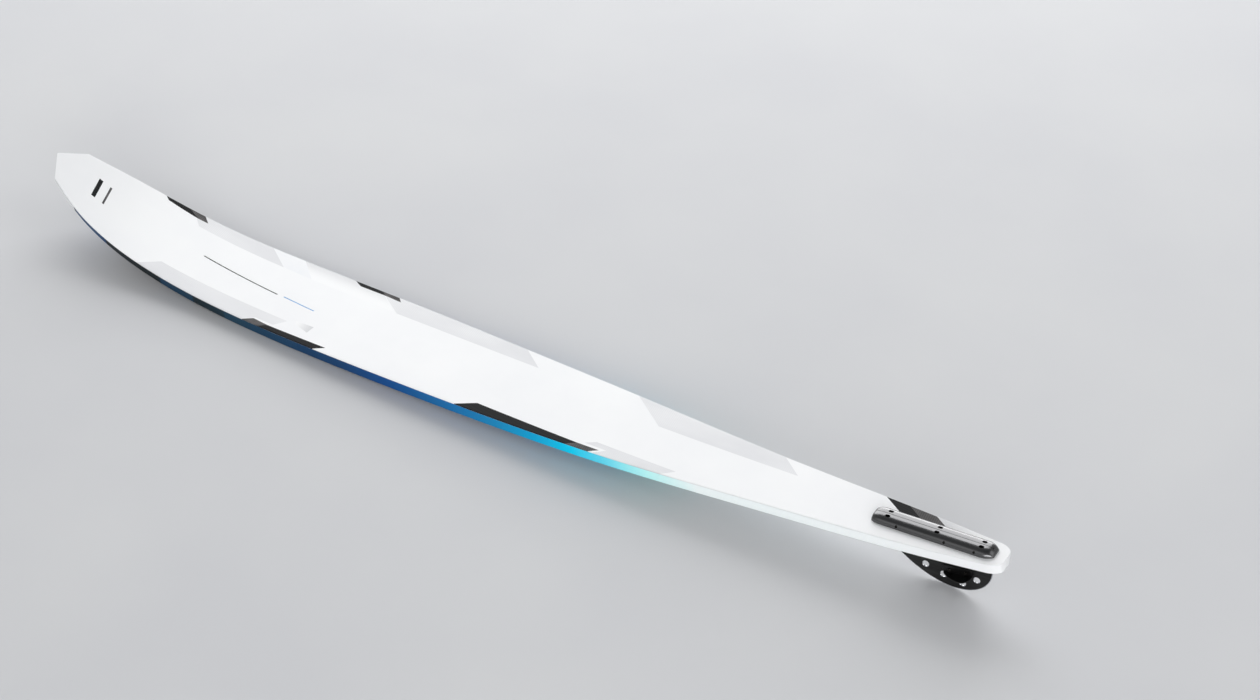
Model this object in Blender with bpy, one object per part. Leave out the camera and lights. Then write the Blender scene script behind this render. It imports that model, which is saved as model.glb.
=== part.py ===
"""Slalom water ski with an adjustable fin: moulded ski, fin block, fin and wing.

The ski is laid out in its own frame, with X from the tail to the tip, Y to the
left and Z up from the lowest line of the deck. The fin block, the fin and the
wing sit in a frame on the deck at the block, tilted with the tail. At the end
the whole ski is pitched until it rests on its fin and its belly.
"""
import math

import bmesh
import bpy
import numpy as np
from mathutils import Vector

# Ski outline: share of the length from the tail, half width of the deck
LENGTH = 1.651
OUTLINE = (
    (0.0, 0.0231),
    (0.08, 0.0369),
    (0.2, 0.0514),
    (0.35, 0.0708),
    (0.5, 0.0821),
    (0.65, 0.0866),
    (0.78, 0.0843),
    (0.86, 0.0787),
    (0.92, 0.0697),
    (0.955, 0.0574),
    (0.984, 0.0406),
)
TAIL_ROUND = 0.020
TAIL_FLAT = 0.0105
NOSE_FLAT = 0.006

# Rocker: share of the length, height of the deck
ROCKER = (
    (0.0, 0.0224),
    (0.15, 0.0083),
    (0.3, -0.0012),
    (0.45, -0.0033),
    (0.6, -0.0001),
    (0.72, 0.0039),
    (0.8, 0.0116),
    (0.86, 0.0257),
    (0.92, 0.0522),
    (0.96, 0.0794),
    (1.0, 0.116),
)

# Flex profile: share of the length, thickness from the deck to the base edge
THICKNESS = (
    (0.0, 0.0189),
    (0.3, 0.0191),
    (0.5, 0.0204),
    (0.62, 0.0209),
    (0.75, 0.0194),
    (0.88, 0.0161),
    (1.0, 0.0118),
)

# Tunnel along the base: share of the length, depth at the centre line
TUNNEL = (
    (0.0, 0.0002),
    (0.12, 0.0022),
    (0.35, 0.0030),
    (0.62, 0.0028),
    (0.80, 0.0012),
    (0.90, 0.0),
    (1.0, 0.0),
)
RAIL_SLANT = 0.0025
BASE_EDGE_ROUND = 0.0035
BASE_BEVEL = 0.008
FULL_RAIL_FROM = 0.020
DECK_EDGE_ROUND = 0.0009

# Laminate and fits
SKIN = 0.0012
GAP = 0.0003
SEAM = 0.0003

# Fin blade: its root along the base, its depth below the base and its outline
FIN_LENGTH = 0.1715
FIN_DEPTH = 0.0641
FIN_THICKNESS = 0.0016
FIN_DEEPEST_BEHIND_MIDDLE = 0.030
FIN_REAR_STRAIGHT = 0.0189
FIN_REAR_BOW = 0.0028
FIN_HEEL_HEIGHT = 0.0164
FIN_HEEL_REACH = 0.028
FIN_SOLE_REACH = 0.042
FIN_SWEEP_REACH = 0.0328
FIN_SWEEP_HEIGHT = 0.0274
FIN_EDGE = 0.0010
FIN_EDGE_LAND = 0.0004
FIN_TRAVEL = 0.0015
FIN_TOP_COVER = 0.0017
SLOT_SIDE_ROOM = 0.0006
SLOT_END_ROOM = 0.0005

# Holes along the fin's edge: place along the edge from the rear foot, distance in from it
FIN_HOLE_DIAMETER = 0.0096
FIN_EDGE_HOLES = (
    (1.405, 0.0148),
    (1.159, 0.0161),
    (0.823, 0.0114),
    (0.405, 0.0136),
)
FIN_REAR_HOLE_AHEAD = 0.0130
FIN_REAR_HOLE_DROP = 0.0066

# Fin block: two aluminium rails with the fin clamped between them
BLOCK_FROM_TAIL = 0.014
BLOCK_END_WALL = 0.00525
BLOCK_WIDTH = 0.033
BLOCK_HEIGHT = 0.010
BLOCK_TOP_WIDTH = 0.0125
BLOCK_TOE = 0.0010
REAR_SLOPE = 0.0095
REAR_END_HEIGHT = 0.0035
REAR_END_INSET = 0.0030
FRONT_SLOPE = 0.0030
FRONT_END_HEIGHT = 0.0070
FRONT_END_INSET = 0.0041
FRONT_TAPER = 0.012
BLOCK_TRAVEL = 0.0012

# Screws that hold the block down: a pair near each end and a pair near the middle
FRONT_PAIR_FROM_END = 0.0215
MIDDLE_PAIR_BEHIND_MIDDLE = 0.0045
REAR_PAIR_FROM_END = 0.0205
BLOCK_SCREW_WALL = 0.0018
BLOCK_SCREW_HEAD = 0.0046
BLOCK_SCREW_HEAD_HEIGHT = 0.0022
BLOCK_SCREW_SHANK = 0.0028
BLOCK_SCREW_LENGTH = 0.0135
BLOCK_SCREW_RECESS = 0.0052
BLOCK_INSERT_DIAMETER = 0.0075
BLOCK_INSERT_LENGTH = 0.0105

# Screws that clamp the fin, in the left rail, each set off from a pair above
CLAMP_BEHIND_FRONT_PAIR = 0.0175
CLAMP_BEHIND_MIDDLE_PAIR = 0.0150
CLAMP_AHEAD_OF_REAR_PAIR = 0.0068
CLAMP_SCREW_DIAMETER = 0.0030
CLAMP_SCREW_HEIGHT = 0.0048
CLAMP_SCREW_SINK = 0.0006
CLAMP_POINT_SHARE = 0.6

# Every socket screw: depth of the socket in the head, and the rounded edge of the head
SOCKET_SHARE = 0.6
HEAD_EDGE_SHARE = 0.12

# Wing: two mirrored L shaped halves on a pivot screw and a slot screw
WING_PIVOT_BEHIND_MIDDLE = 0.0224
WING_PIVOT_ABOVE_SOLE = 0.0301
WING_ANGLE = 7.5
WING_LEAST_ANGLE = 0.0
WING_MOST_ANGLE = 12.0
WING_SHEET = 0.0012
WING_SPAN = 0.0200
WING_FRONT = 0.0097
WING_REAR = 0.0349
WING_TIP_BACK = 0.0240
WING_FRONT_FULLNESS = 0.0117
WING_TIP_FRONT_REACH = 0.0120
WING_TIP_REAR_REACH = 0.0070
WING_REAR_FULLNESS = 0.0014
WING_ROOT_DROP = 0.0050
WING_FLANGE_RISE = 0.0065
WING_FLANGE_LEAN = 0.0011
WING_FLANGE_CORNER = 0.0025
WING_SCREW_SPACING = 0.0246
WING_SCREW_SHANK = 0.0028
WING_SCREW_HEAD = 0.0050
WING_SCREW_HEAD_HEIGHT = 0.0016
WING_NUT_FLATS = 0.0055
WING_NUT_HEIGHT = 0.0022

# Threaded inserts under the deck for the front and the rear binding plates
BINDING_INSERT_DIAMETER = 0.010
BINDING_INSERT_LENGTH = 0.012
BINDING_INSERT_BORE = 0.0055
BINDING_INSERT_SIDE = 0.041
FRONT_BINDING_MIDDLE = 0.865
FRONT_BINDING_SPACING = 0.178
REAR_BINDING_MIDDLE = 0.600
REAR_BINDING_SPACING = 0.150

# Facets, and how far a cutter runs past what it cuts
CUTTER_REACH = 0.05
STATION_PITCH = 0.036
TIP_STATION_PITCH = 0.020
TIP_FROM = 0.80
ROUND_SIDES = 12
HOLE_SIDES = 20
CURVE_STEPS = 13


def spline(stations, length=1.0):
    """Natural cubic through (share of the length, value) stations."""
    x, y = np.array(stations, float).T
    x = x * length
    step = np.diff(x)
    count = len(x)
    matrix = np.eye(count)
    right = np.zeros(count)
    for i in range(1, count - 1):
        matrix[i, i - 1:i + 2] = step[i - 1], 2 * (step[i - 1] + step[i]), step[i]
        right[i] = 6 * ((y[i + 1] - y[i]) / step[i] - (y[i] - y[i - 1]) / step[i - 1])
    bend = np.linalg.solve(matrix, right)

    def value(at):
        i = int(np.clip(np.searchsorted(x, at) - 1, 0, count - 2))
        ahead = x[i + 1] - at
        behind = at - x[i]
        curved = (bend[i] * ahead ** 3 + bend[i + 1] * behind ** 3) / (6 * step[i])
        from_left = (y[i] / step[i] - bend[i] * step[i] / 6) * ahead
        from_right = (y[i + 1] / step[i] - bend[i + 1] * step[i] / 6) * behind
        return float(curved + from_left + from_right)

    return value


side_curve = spline(OUTLINE, LENGTH)
deck_height = spline(ROCKER, LENGTH)
thickness = spline(THICKNESS, LENGTH)
tunnel_curve = spline(TUNNEL, LENGTH)
NOSE_CORNER = OUTLINE[-1][0] * LENGTH


def half_width(x):
    """Half width of the deck at x, with the rounded tail and the blunt nose."""
    if x > NOSE_CORNER:
        share = (LENGTH - x) / (LENGTH - NOSE_CORNER)
        return NOSE_FLAT + (OUTLINE[-1][1] - NOSE_FLAT) * share
    width = side_curve(x)
    if x < TAIL_ROUND:
        lean = (TAIL_ROUND - x) / TAIL_ROUND
        width -= (side_curve(0.0) - TAIL_FLAT) * (1 - math.sqrt(max(0.0, 1 - lean * lean)))
    return width


def stations():
    """Places along the ski where its section is drawn."""
    tail_steps = 6
    places = [TAIL_ROUND * (1 - math.cos(0.5 * math.pi * i / tail_steps)) for i in range(tail_steps)]
    middle_end = TIP_FROM * LENGTH
    middle = max(2, round((middle_end - TAIL_ROUND) / STATION_PITCH))
    places += list(np.linspace(TAIL_ROUND, middle_end, middle, endpoint=False))
    tip = max(2, round((NOSE_CORNER - middle_end) / TIP_STATION_PITCH))
    places += list(np.linspace(middle_end, NOSE_CORNER, tip, endpoint=False))
    places += list(np.linspace(NOSE_CORNER, LENGTH, 4))
    return places


def inset_places(inset):
    """The stations that lie inside the inset, with an end at the inset itself."""
    least_step = 0.0004
    inside = [x for x in stations() if inset + least_step < x < LENGTH - inset - least_step]
    return [inset] + inside + [LENGTH - inset]


def outline_lean(x):
    """How much wider a sideways inset is than one square to the outline."""
    step = 0.002
    low = max(0.0, x - step)
    high = min(LENGTH, x + step)
    slope = (half_width(high) - half_width(low)) / (high - low)
    return min(2.0, math.hypot(1.0, slope))


def body_section(x, inset, top):
    """Closed section of the ski at x, moved in by inset, from depth top down to the base."""
    width = half_width(x) - inset * outline_lean(x)
    depth = thickness(x) - inset
    ease = min(1.0, half_width(x) / FULL_RAIL_FROM)
    edge = ease * (BASE_EDGE_ROUND - 0.7 * inset)
    slope = ease * RAIL_SLANT / (thickness(x) - BASE_EDGE_ROUND)
    rail_foot = width - slope * (depth - edge)
    bevel_end = rail_foot - edge - ease * BASE_BEVEL
    side = [(width - slope * top, top), (rail_foot, depth - edge)]
    for i in (1, 2):
        angle = 0.5 * math.pi * i / 3
        side.append((rail_foot - edge * (1 - math.cos(angle)), depth - edge * (1 - math.sin(angle))))
    side.append((rail_foot - edge, depth))
    for share in (1.0, 0.72, 0.4):
        rise = max(tunnel_curve(x), 0.0) * (1 - share * share)
        side.append((bevel_end * share, depth - rise))
    centre = (0.0, depth - max(tunnel_curve(x), 0.0))
    section = side + [centre] + [(-y, d) for y, d in reversed(side)]
    height = deck_height(x)
    return [Vector((x, y, height - d)) for y, d in section]


def deck_section(x):
    """Closed section of the deck skin at x, with its rounded upper edge."""
    width = half_width(x)
    edge = DECK_EDGE_ROUND
    side = []
    for i in range(3):
        angle = 0.25 * math.pi * i
        side.append((width - edge * (1 - math.sin(angle)), edge * (1 - math.cos(angle))))
    side.append((width - RAIL_SLANT * SKIN / (thickness(x) - BASE_EDGE_ROUND), SKIN))
    section = side + [(-y, d) for y, d in reversed(side)]
    height = deck_height(x)
    return [Vector((x, y, height - d)) for y, d in section]


def clear_scene():
    for item in list(bpy.data.objects):
        bpy.data.objects.remove(item, do_unlink=True)


def make_material(name, colour, roughness, metallic=0.0):
    material = bpy.data.materials.new(name)
    material.use_nodes = True
    shader = material.node_tree.nodes["Principled BSDF"]
    shader.inputs["Base Color"].default_value = (*colour, 1.0)
    shader.inputs["Roughness"].default_value = roughness
    shader.inputs["Metallic"].default_value = metallic
    material.diffuse_color = (*colour, 1.0)
    return material


def make_mesh(name, mesh, material, sharp=35.0):
    """Turns a bmesh into mesh data with its round stretches shaded smooth."""
    bmesh.ops.recalc_face_normals(mesh, faces=mesh.faces)
    data = bpy.data.meshes.new(name)
    mesh.to_mesh(data)
    mesh.free()
    data.shade_smooth()
    data.set_sharp_from_angle(angle=math.radians(sharp))
    if material is not None:
        data.materials.append(material)
    return data


def place_object(name, data, parent, place=(0.0, 0.0, 0.0), pitch=0.0):
    """Links a named object on mesh data, which several objects may share."""
    item = bpy.data.objects.new(name, data)
    bpy.context.collection.objects.link(item)
    item.parent = parent
    item.location = place
    item.rotation_euler = (0.0, pitch, 0.0)
    return item


def make_object(name, mesh, material, parent, sharp=35.0):
    return place_object(name, make_mesh(name, mesh, material, sharp), parent)


def make_empty(name, parent, place=(0.0, 0.0, 0.0), pitch=0.0):
    empty = bpy.data.objects.new(name, None)
    empty.empty_display_size = 0.02
    empty.location = place
    empty.rotation_euler = (0.0, pitch, 0.0)
    empty.parent = parent
    bpy.context.collection.objects.link(empty)
    return empty


def join_rings(mesh, rings):
    """Skins a row of closed rings and caps both ends."""
    loops = [[mesh.verts.new(point) for point in ring] for ring in rings]
    count = len(loops[0])
    for first, second in zip(loops, loops[1:]):
        for i in range(count):
            j = (i + 1) % count
            mesh.faces.new((first[i], first[j], second[j], second[i]))
    mesh.faces.new(list(reversed(loops[0])))
    mesh.faces.new(loops[-1])


def loft(rings):
    mesh = bmesh.new()
    join_rings(mesh, rings)
    return mesh


def prisms(outlines, low, high, upright):
    """Straight solids over closed outlines: upright along Z, or else along Y."""
    mesh = bmesh.new()
    for outline in outlines:
        if upright:
            rings = [[Vector((a, b, level)) for a, b in outline] for level in (low, high)]
        else:
            rings = [[Vector((a, level, b)) for a, b in outline] for level in (low, high)]
        join_rings(mesh, rings)
    return mesh


def circle(radius, sides, centre=(0.0, 0.0)):
    turns = [2 * math.pi * (i + 0.5) / sides for i in range(sides)]
    return [(centre[0] + radius * math.cos(t), centre[1] + radius * math.sin(t)) for t in turns]


def hexagon(flats, sides):
    """A hexagon drawn with as many points as the circle it meets."""
    points = []
    for i in range(sides):
        turn = 2 * math.pi * (i + 0.5) / sides
        reach = 0.5 * flats / math.cos(turn % (math.pi / 3) - math.pi / 6)
        points.append((reach * math.cos(turn), reach * math.sin(turn)))
    return points


def stadium(radius, travel, centre):
    """A slot outline along the first axis, longer than its width by twice the travel."""
    half = HOLE_SIDES // 2
    points = []
    for side in (1, -1):
        for i in range(half + 1):
            turn = math.pi * (i / half - 0.5)
            points.append((centre[0] + side * (travel + radius * math.cos(turn)),
                           centre[1] + side * radius * math.sin(turn)))
    return points


def cubic(points, t):
    """The point at t on a cubic curve with four control points."""
    weights = ((1 - t) ** 3, 3 * t * (1 - t) ** 2, 3 * t * t * (1 - t), t ** 3)
    return tuple(sum(w * p for w, p in zip(weights, np.array(points, float))))


def bezier(points, steps):
    """Points on a cubic curve, without its last point."""
    return [cubic(points, i / steps) for i in range(steps)]


def inset_outline(outline, inset):
    """The outline drawn in square to its sides, for an anticlockwise outline."""
    points = [Vector(p) for p in outline]
    result = []
    for i, point in enumerate(points):
        before = (point - points[i - 1]).normalized()
        after = (points[(i + 1) % len(points)] - point).normalized()
        side = Vector((-before.y - after.y, before.x + after.x)).normalized()
        reach = max(0.4, side.dot(Vector((-before.y, before.x))))
        result.append(tuple(point + side * inset / reach))
    return result


def cut(item, cutters):
    """Takes each cutter out of the object with its own Boolean."""
    for cutter in cutters:
        cutter.hide_render = True
        cutter.display_type = "WIRE"
        modifier = item.modifiers.new(cutter.name, "BOOLEAN")
        modifier.operation = "DIFFERENCE"
        modifier.solver = "EXACT"
        modifier.object = cutter


def screw_rings(head_radius, head_top, shank_radius, shank_foot, socket_flats):
    """Rings of a socket screw whose head sits on level 0, as (outline, level) pairs."""
    socket = hexagon(socket_flats, ROUND_SIDES)
    socket_depth = SOCKET_SHARE * head_top
    edge = HEAD_EDGE_SHARE * head_radius
    head = circle(head_radius, ROUND_SIDES)
    return [
        (circle(shank_radius, ROUND_SIDES), shank_foot),
        (circle(shank_radius, ROUND_SIDES), 0.0),
        (head, 0.0),
        (head, head_top - edge),
        (circle(head_radius - edge, ROUND_SIDES), head_top),
        (socket, head_top),
        (socket, head_top - socket_depth),
    ]


def turned(levels, upright=True):
    """A solid through (outline, level) pairs, along Z or along Y."""
    if upright:
        return loft([[Vector((a, b, level)) for a, b in outline] for outline, level in levels])
    return loft([[Vector((a, level, b)) for a, b in outline] for outline, level in levels])


def tube(outer, inner, low, high):
    """A sleeve along Z, open at both ends."""
    levels = ((outer, low), (outer, high), (inner, high), (inner, low))
    mesh = bmesh.new()
    loops = [[mesh.verts.new((a, b, level)) for a, b in outline] for outline, level in levels]
    count = len(outer)
    for first, second in zip(loops, loops[1:] + loops[:1]):
        for i in range(count):
            j = (i + 1) % count
            mesh.faces.new((first[i], first[j], second[j], second[i]))
    return mesh


def deck_slope(x):
    step = 0.01
    return (deck_height(x + step) - deck_height(x - step)) / (2 * step)


BLOCK_LENGTH = FIN_LENGTH + 2 * BLOCK_END_WALL
BLOCK_MIDDLE = BLOCK_FROM_TAIL + 0.5 * BLOCK_LENGTH
BLOCK_PITCH = -math.atan(deck_slope(BLOCK_MIDDLE))
HALF_BLOCK = 0.5 * BLOCK_LENGTH
HALF_FIN = 0.5 * FIN_LENGTH

TAB_SIDE = 0.5 * FIN_THICKNESS + GAP
HEAD_ROOM = 0.5 * BLOCK_SCREW_HEAD + GAP
SHANK_ROOM = 0.5 * BLOCK_SCREW_SHANK + GAP
BLOCK_SCREW_SIDE = TAB_SIDE + BLOCK_SCREW_WALL + HEAD_ROOM
BLOCK_SCREW_SEAT = BLOCK_HEIGHT - BLOCK_SCREW_RECESS
FRONT_PAIR = HALF_BLOCK - FRONT_PAIR_FROM_END
MIDDLE_PAIR = -MIDDLE_PAIR_BEHIND_MIDDLE
REAR_PAIR = -HALF_BLOCK + REAR_PAIR_FROM_END
CLAMP_PLACES = (
    FRONT_PAIR - CLAMP_BEHIND_FRONT_PAIR,
    MIDDLE_PAIR - CLAMP_BEHIND_MIDDLE_PAIR,
    REAR_PAIR + CLAMP_AHEAD_OF_REAR_PAIR,
)
BLOCK_SCREW_SPOTS = [
    (u, side * BLOCK_SCREW_SIDE) for u in (FRONT_PAIR, MIDDLE_PAIR, REAR_PAIR) for side in (1, -1)
]


def deck_in_block_frame(u):
    """Height of the deck above the block frame's plane, at u along the block."""
    x = BLOCK_MIDDLE + u * math.cos(BLOCK_PITCH)
    rise = deck_height(x) - deck_height(BLOCK_MIDDLE)
    return rise * math.cos(BLOCK_PITCH) + (x - BLOCK_MIDDLE) * math.sin(BLOCK_PITCH)


def base_in_block_frame(u):
    """Height of the base's centre line in the block frame, at u along the block."""
    x = BLOCK_MIDDLE + u * math.cos(BLOCK_PITCH)
    return deck_in_block_frame(u) - (thickness(x) - max(tunnel_curve(x), 0.0)) * math.cos(BLOCK_PITCH)


SOLE = base_in_block_frame(-FIN_DEEPEST_BEHIND_MIDDLE) - FIN_DEPTH
WING_PIVOT = (-WING_PIVOT_BEHIND_MIDDLE, SOLE + WING_PIVOT_ABOVE_SOLE)


def block_sections():
    """Places along the block with the half width and the height there."""
    wide = 0.5 * BLOCK_WIDTH
    rear_wide = wide - REAR_END_INSET
    front_wide = wide - FRONT_END_INSET
    plain_from = -HALF_BLOCK + 2 * REAR_SLOPE
    plain_to = HALF_BLOCK - FRONT_TAPER
    sections = [
        (-HALF_BLOCK, rear_wide, REAR_END_HEIGHT),
        (-HALF_BLOCK + REAR_SLOPE, 0.25 * rear_wide + 0.75 * wide, BLOCK_HEIGHT),
    ]
    sections += [(u, wide, BLOCK_HEIGHT) for u in np.linspace(plain_from, plain_to, 8)]
    sections += [
        (HALF_BLOCK - FRONT_SLOPE, 0.5 * (front_wide + wide), BLOCK_HEIGHT),
        (HALF_BLOCK, front_wide, FRONT_END_HEIGHT),
    ]
    return sections


def make_rail(name, side, material, parent, cutters):
    """One rail of the fin block, on the left (side 1) or on the right (side -1)."""
    rings = []
    for u, wide, height in block_sections():
        foot = deck_in_block_frame(u) + GAP
        flat = 0.5 * BLOCK_TOP_WIDTH * wide / (0.5 * BLOCK_WIDTH)
        points = [(0.5 * SEAM, 0.0), (wide, 0.0)]
        arc_steps = 6
        for i in range(arc_steps + 1):
            angle = 0.5 * math.pi * i / arc_steps
            across = flat + (wide - flat) * math.cos(angle)
            points.append((across, BLOCK_TOE + (height - BLOCK_TOE) * math.sin(angle)))
        points.append((0.5 * SEAM, height))
        rings.append([Vector((u, side * y, foot + h)) for y, h in points])
    rail = make_object(name, loft(rings), material, parent, sharp=30.0)
    cut(rail, cutters)
    return rail


def fin_curves():
    """Control points of the fin's rear curve and of its front curve, in the block frame."""
    deepest = (-FIN_DEEPEST_BEHIND_MIDDLE, SOLE)
    rear_foot = (-HALF_FIN, base_in_block_frame(-HALF_FIN) - FIN_REAR_STRAIGHT)
    front_root = (HALF_FIN, base_in_block_frame(HALF_FIN))
    rear = (
        rear_foot,
        (-HALF_FIN + FIN_REAR_BOW, SOLE + FIN_HEEL_HEIGHT),
        (deepest[0] - FIN_HEEL_REACH, SOLE),
        deepest,
    )
    front = (
        deepest,
        (deepest[0] + FIN_SOLE_REACH, SOLE),
        (HALF_FIN - FIN_SWEEP_REACH, SOLE + FIN_SWEEP_HEIGHT),
        front_root,
    )
    return rear, front


def fin_outline():
    """Anticlockwise outline of the fin blade in the block frame, seen with X to the right."""
    top = BLOCK_HEIGHT - FIN_TRAVEL - FIN_TOP_COVER
    rear, front = fin_curves()
    edge = bezier(rear, CURVE_STEPS) + bezier(front, CURVE_STEPS)
    return [(-HALF_FIN, top)] + edge + [front[-1], (HALF_FIN, top)]


def fin_holes():
    """Centres of the fin's five round holes, in the block frame."""
    rear, front = fin_curves()
    centres = []
    for place, margin in FIN_EDGE_HOLES:
        curve = rear if place < 1.0 else front
        step = 0.001
        point = Vector(cubic(curve, place % 1.0))
        ahead = Vector(cubic(curve, place % 1.0 + step)) - point
        inward = Vector((-ahead.y, ahead.x)).normalized()
        centres.append(tuple(point + inward * margin))
    rear_hole = (-HALF_FIN + FIN_REAR_HOLE_AHEAD, base_in_block_frame(-HALF_FIN) - FIN_REAR_HOLE_DROP)
    return centres + [rear_hole]


def arc_slot(radius, middle, first, last, room):
    """Outline of a slot along an arc about the origin, between two angles."""
    steps = 6
    half = HOLE_SIDES // 2
    points = []
    for i in range(steps + 1):
        turn = first + (last - first) * i / steps
        points.append(((radius + room) * math.cos(turn), (radius + room) * math.sin(turn)))
    points += slot_end(radius, last, room, half, 0.0)
    for i in range(steps + 1):
        turn = last + (first - last) * i / steps
        points.append(((radius - room) * math.cos(turn), (radius - room) * math.sin(turn)))
    points += slot_end(radius, first, room, half, math.pi)
    return [(middle[0] + a, middle[1] + b) for a, b in points]


def slot_end(radius, turn, room, half, start):
    """The round end of an arc slot, without its two end points."""
    centre = (radius * math.cos(turn), radius * math.sin(turn))
    angles = [turn + start + math.pi * i / half for i in range(1, half)]
    return [(centre[0] + room * math.cos(a), centre[1] + room * math.sin(a)) for a in angles]


def wing_blade_outline(inner):
    """Outline of one wing half seen from above, from the fin side outwards."""
    tip = (-WING_TIP_BACK, WING_SPAN)
    steps = 8
    leading = bezier(
        ((WING_FRONT, inner), (WING_FRONT - WING_FRONT_FULLNESS, 0.5 * WING_SPAN),
         (tip[0] + WING_TIP_FRONT_REACH, WING_SPAN), tip), steps)
    trailing = bezier(
        (tip, (tip[0] - WING_TIP_REAR_REACH, WING_SPAN),
         (-WING_REAR + WING_REAR_FULLNESS, 0.5 * WING_SPAN), (-WING_REAR, inner)), steps)
    return leading + trailing + [(-WING_REAR, inner)]


def wing_flange_outline():
    """Outline of the flange on the fin's face, seen from the side."""
    foot = -WING_ROOT_DROP
    rise = WING_FLANGE_RISE
    return [
        (WING_FRONT, foot),
        (WING_FRONT + WING_FLANGE_LEAN, rise - WING_FLANGE_CORNER),
        (WING_FRONT + WING_FLANGE_LEAN - WING_FLANGE_CORNER, rise),
        (-WING_REAR + WING_FLANGE_LEAN + WING_FLANGE_CORNER, rise),
        (-WING_REAR + WING_FLANGE_LEAN, rise - WING_FLANGE_CORNER),
        (-WING_REAR, foot),
    ]


def make_wing_half(name, side, material, parent, cutters):
    inner = TAB_SIDE
    blade_foot = -WING_ROOT_DROP
    blade = prisms([[(x, side * y) for x, y in wing_blade_outline(inner)]],
                   blade_foot, blade_foot + WING_SHEET, upright=True)
    flange = prisms([wing_flange_outline()], side * inner, side * (inner + WING_SHEET), upright=False)
    wing = make_object(name, blade, material, parent)
    bracket = make_object(name + "_flange", flange, None, parent)
    bracket.hide_render = True
    bracket.display_type = "WIRE"
    union = wing.modifiers.new("flange", "BOOLEAN")
    union.operation = "UNION"
    union.solver = "EXACT"
    union.object = bracket
    cut(wing, cutters)
    return wing


def rectangle(half_length, half_width_there):
    return [(-half_length, -half_width_there), (half_length, -half_width_there),
            (half_length, half_width_there), (-half_length, half_width_there)]


def build_ski(frame, block_frame, materials):
    """The moulded ski: core, two skins, and the threaded inserts in the core."""
    slot_outline = rectangle(HALF_FIN + BLOCK_TRAVEL + SLOT_END_ROOM, 0.5 * FIN_THICKNESS + SLOT_SIDE_ROOM)
    slot = make_object("fin_slot", prisms([slot_outline], -CUTTER_REACH, CUTTER_REACH, upright=True),
                       None, block_frame)
    shank_holes = make_object(
        "shank_holes",
        prisms([circle(SHANK_ROOM, ROUND_SIDES, spot) for spot in BLOCK_SCREW_SPOTS],
               -CUTTER_REACH, CUTTER_REACH, upright=True),
        None, block_frame)

    seat = SKIN + GAP
    deck = make_object("deck_skin", loft([deck_section(x) for x in stations()]),
                       materials["deck"], frame)
    cut(deck, [slot, shank_holes])

    outer = loft([body_section(x, 0.0, seat) for x in inset_places(0.0)])
    inner = loft([body_section(x, SKIN, -3 * SKIN) for x in inset_places(SKIN)])
    base = make_object("base_skin", outer, materials["base"], frame)
    hollow = make_object("base_hollow", inner, None, frame)
    cut(base, [hollow, slot])

    core = make_object("foam_core", loft([body_section(x, seat, seat) for x in inset_places(seat)]),
                       materials["foam"], frame)
    cut(core, [slot])
    build_block_inserts(block_frame, core, materials)
    build_binding_inserts(frame, core, materials)


def build_block_inserts(block_frame, core, materials):
    """Threaded sleeves in the core under the block's screws."""
    top = -(SKIN + GAP)
    foot = top - BLOCK_INSERT_LENGTH
    radius = 0.5 * BLOCK_INSERT_DIAMETER
    sleeve = make_mesh("block_insert",
                       tube(circle(radius, ROUND_SIDES), circle(SHANK_ROOM, ROUND_SIDES), foot, top),
                       materials["brass"])
    for number, (u, y) in enumerate(BLOCK_SCREW_SPOTS, start=1):
        place_object(f"block_insert_{number}", sleeve, block_frame, (u, y, deck_in_block_frame(u)))
    pockets = make_object(
        "block_insert_pockets",
        prisms([circle(radius + GAP, ROUND_SIDES, spot) for spot in BLOCK_SCREW_SPOTS],
               foot - GAP, CUTTER_REACH, upright=True),
        None, block_frame)
    cut(core, [pockets])


def build_binding_inserts(frame, core, materials):
    """Threaded sleeves set in the core under the deck, four for each binding plate."""
    top = -(SKIN + GAP)
    foot = top - BINDING_INSERT_LENGTH
    radius = 0.5 * BINDING_INSERT_DIAMETER
    bore = circle(0.5 * BINDING_INSERT_BORE, ROUND_SIDES)
    sleeve = make_mesh("binding_insert", tube(circle(radius, ROUND_SIDES), bore, foot, top),
                       materials["brass"])
    hole = make_mesh("binding_pocket",
                     prisms([circle(radius + GAP, ROUND_SIDES)], foot - GAP, CUTTER_REACH, upright=True),
                     None)
    for label, middle, spacing in (
            ("front", FRONT_BINDING_MIDDLE, FRONT_BINDING_SPACING),
            ("rear", REAR_BINDING_MIDDLE, REAR_BINDING_SPACING)):
        corners = [(along, side) for along in (0.5, -0.5) for side in (1, -1)]
        for number, (along, side) in enumerate(corners, start=1):
            x = middle + along * spacing
            place = (x, side * BINDING_INSERT_SIDE, deck_height(x))
            pitch = -math.atan(deck_slope(x))
            name = f"{label}_binding_insert_{number}"
            place_object(name, sleeve, frame, place, pitch)
            cut(core, [place_object(name + "_pocket", hole, frame, place, pitch)])


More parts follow.
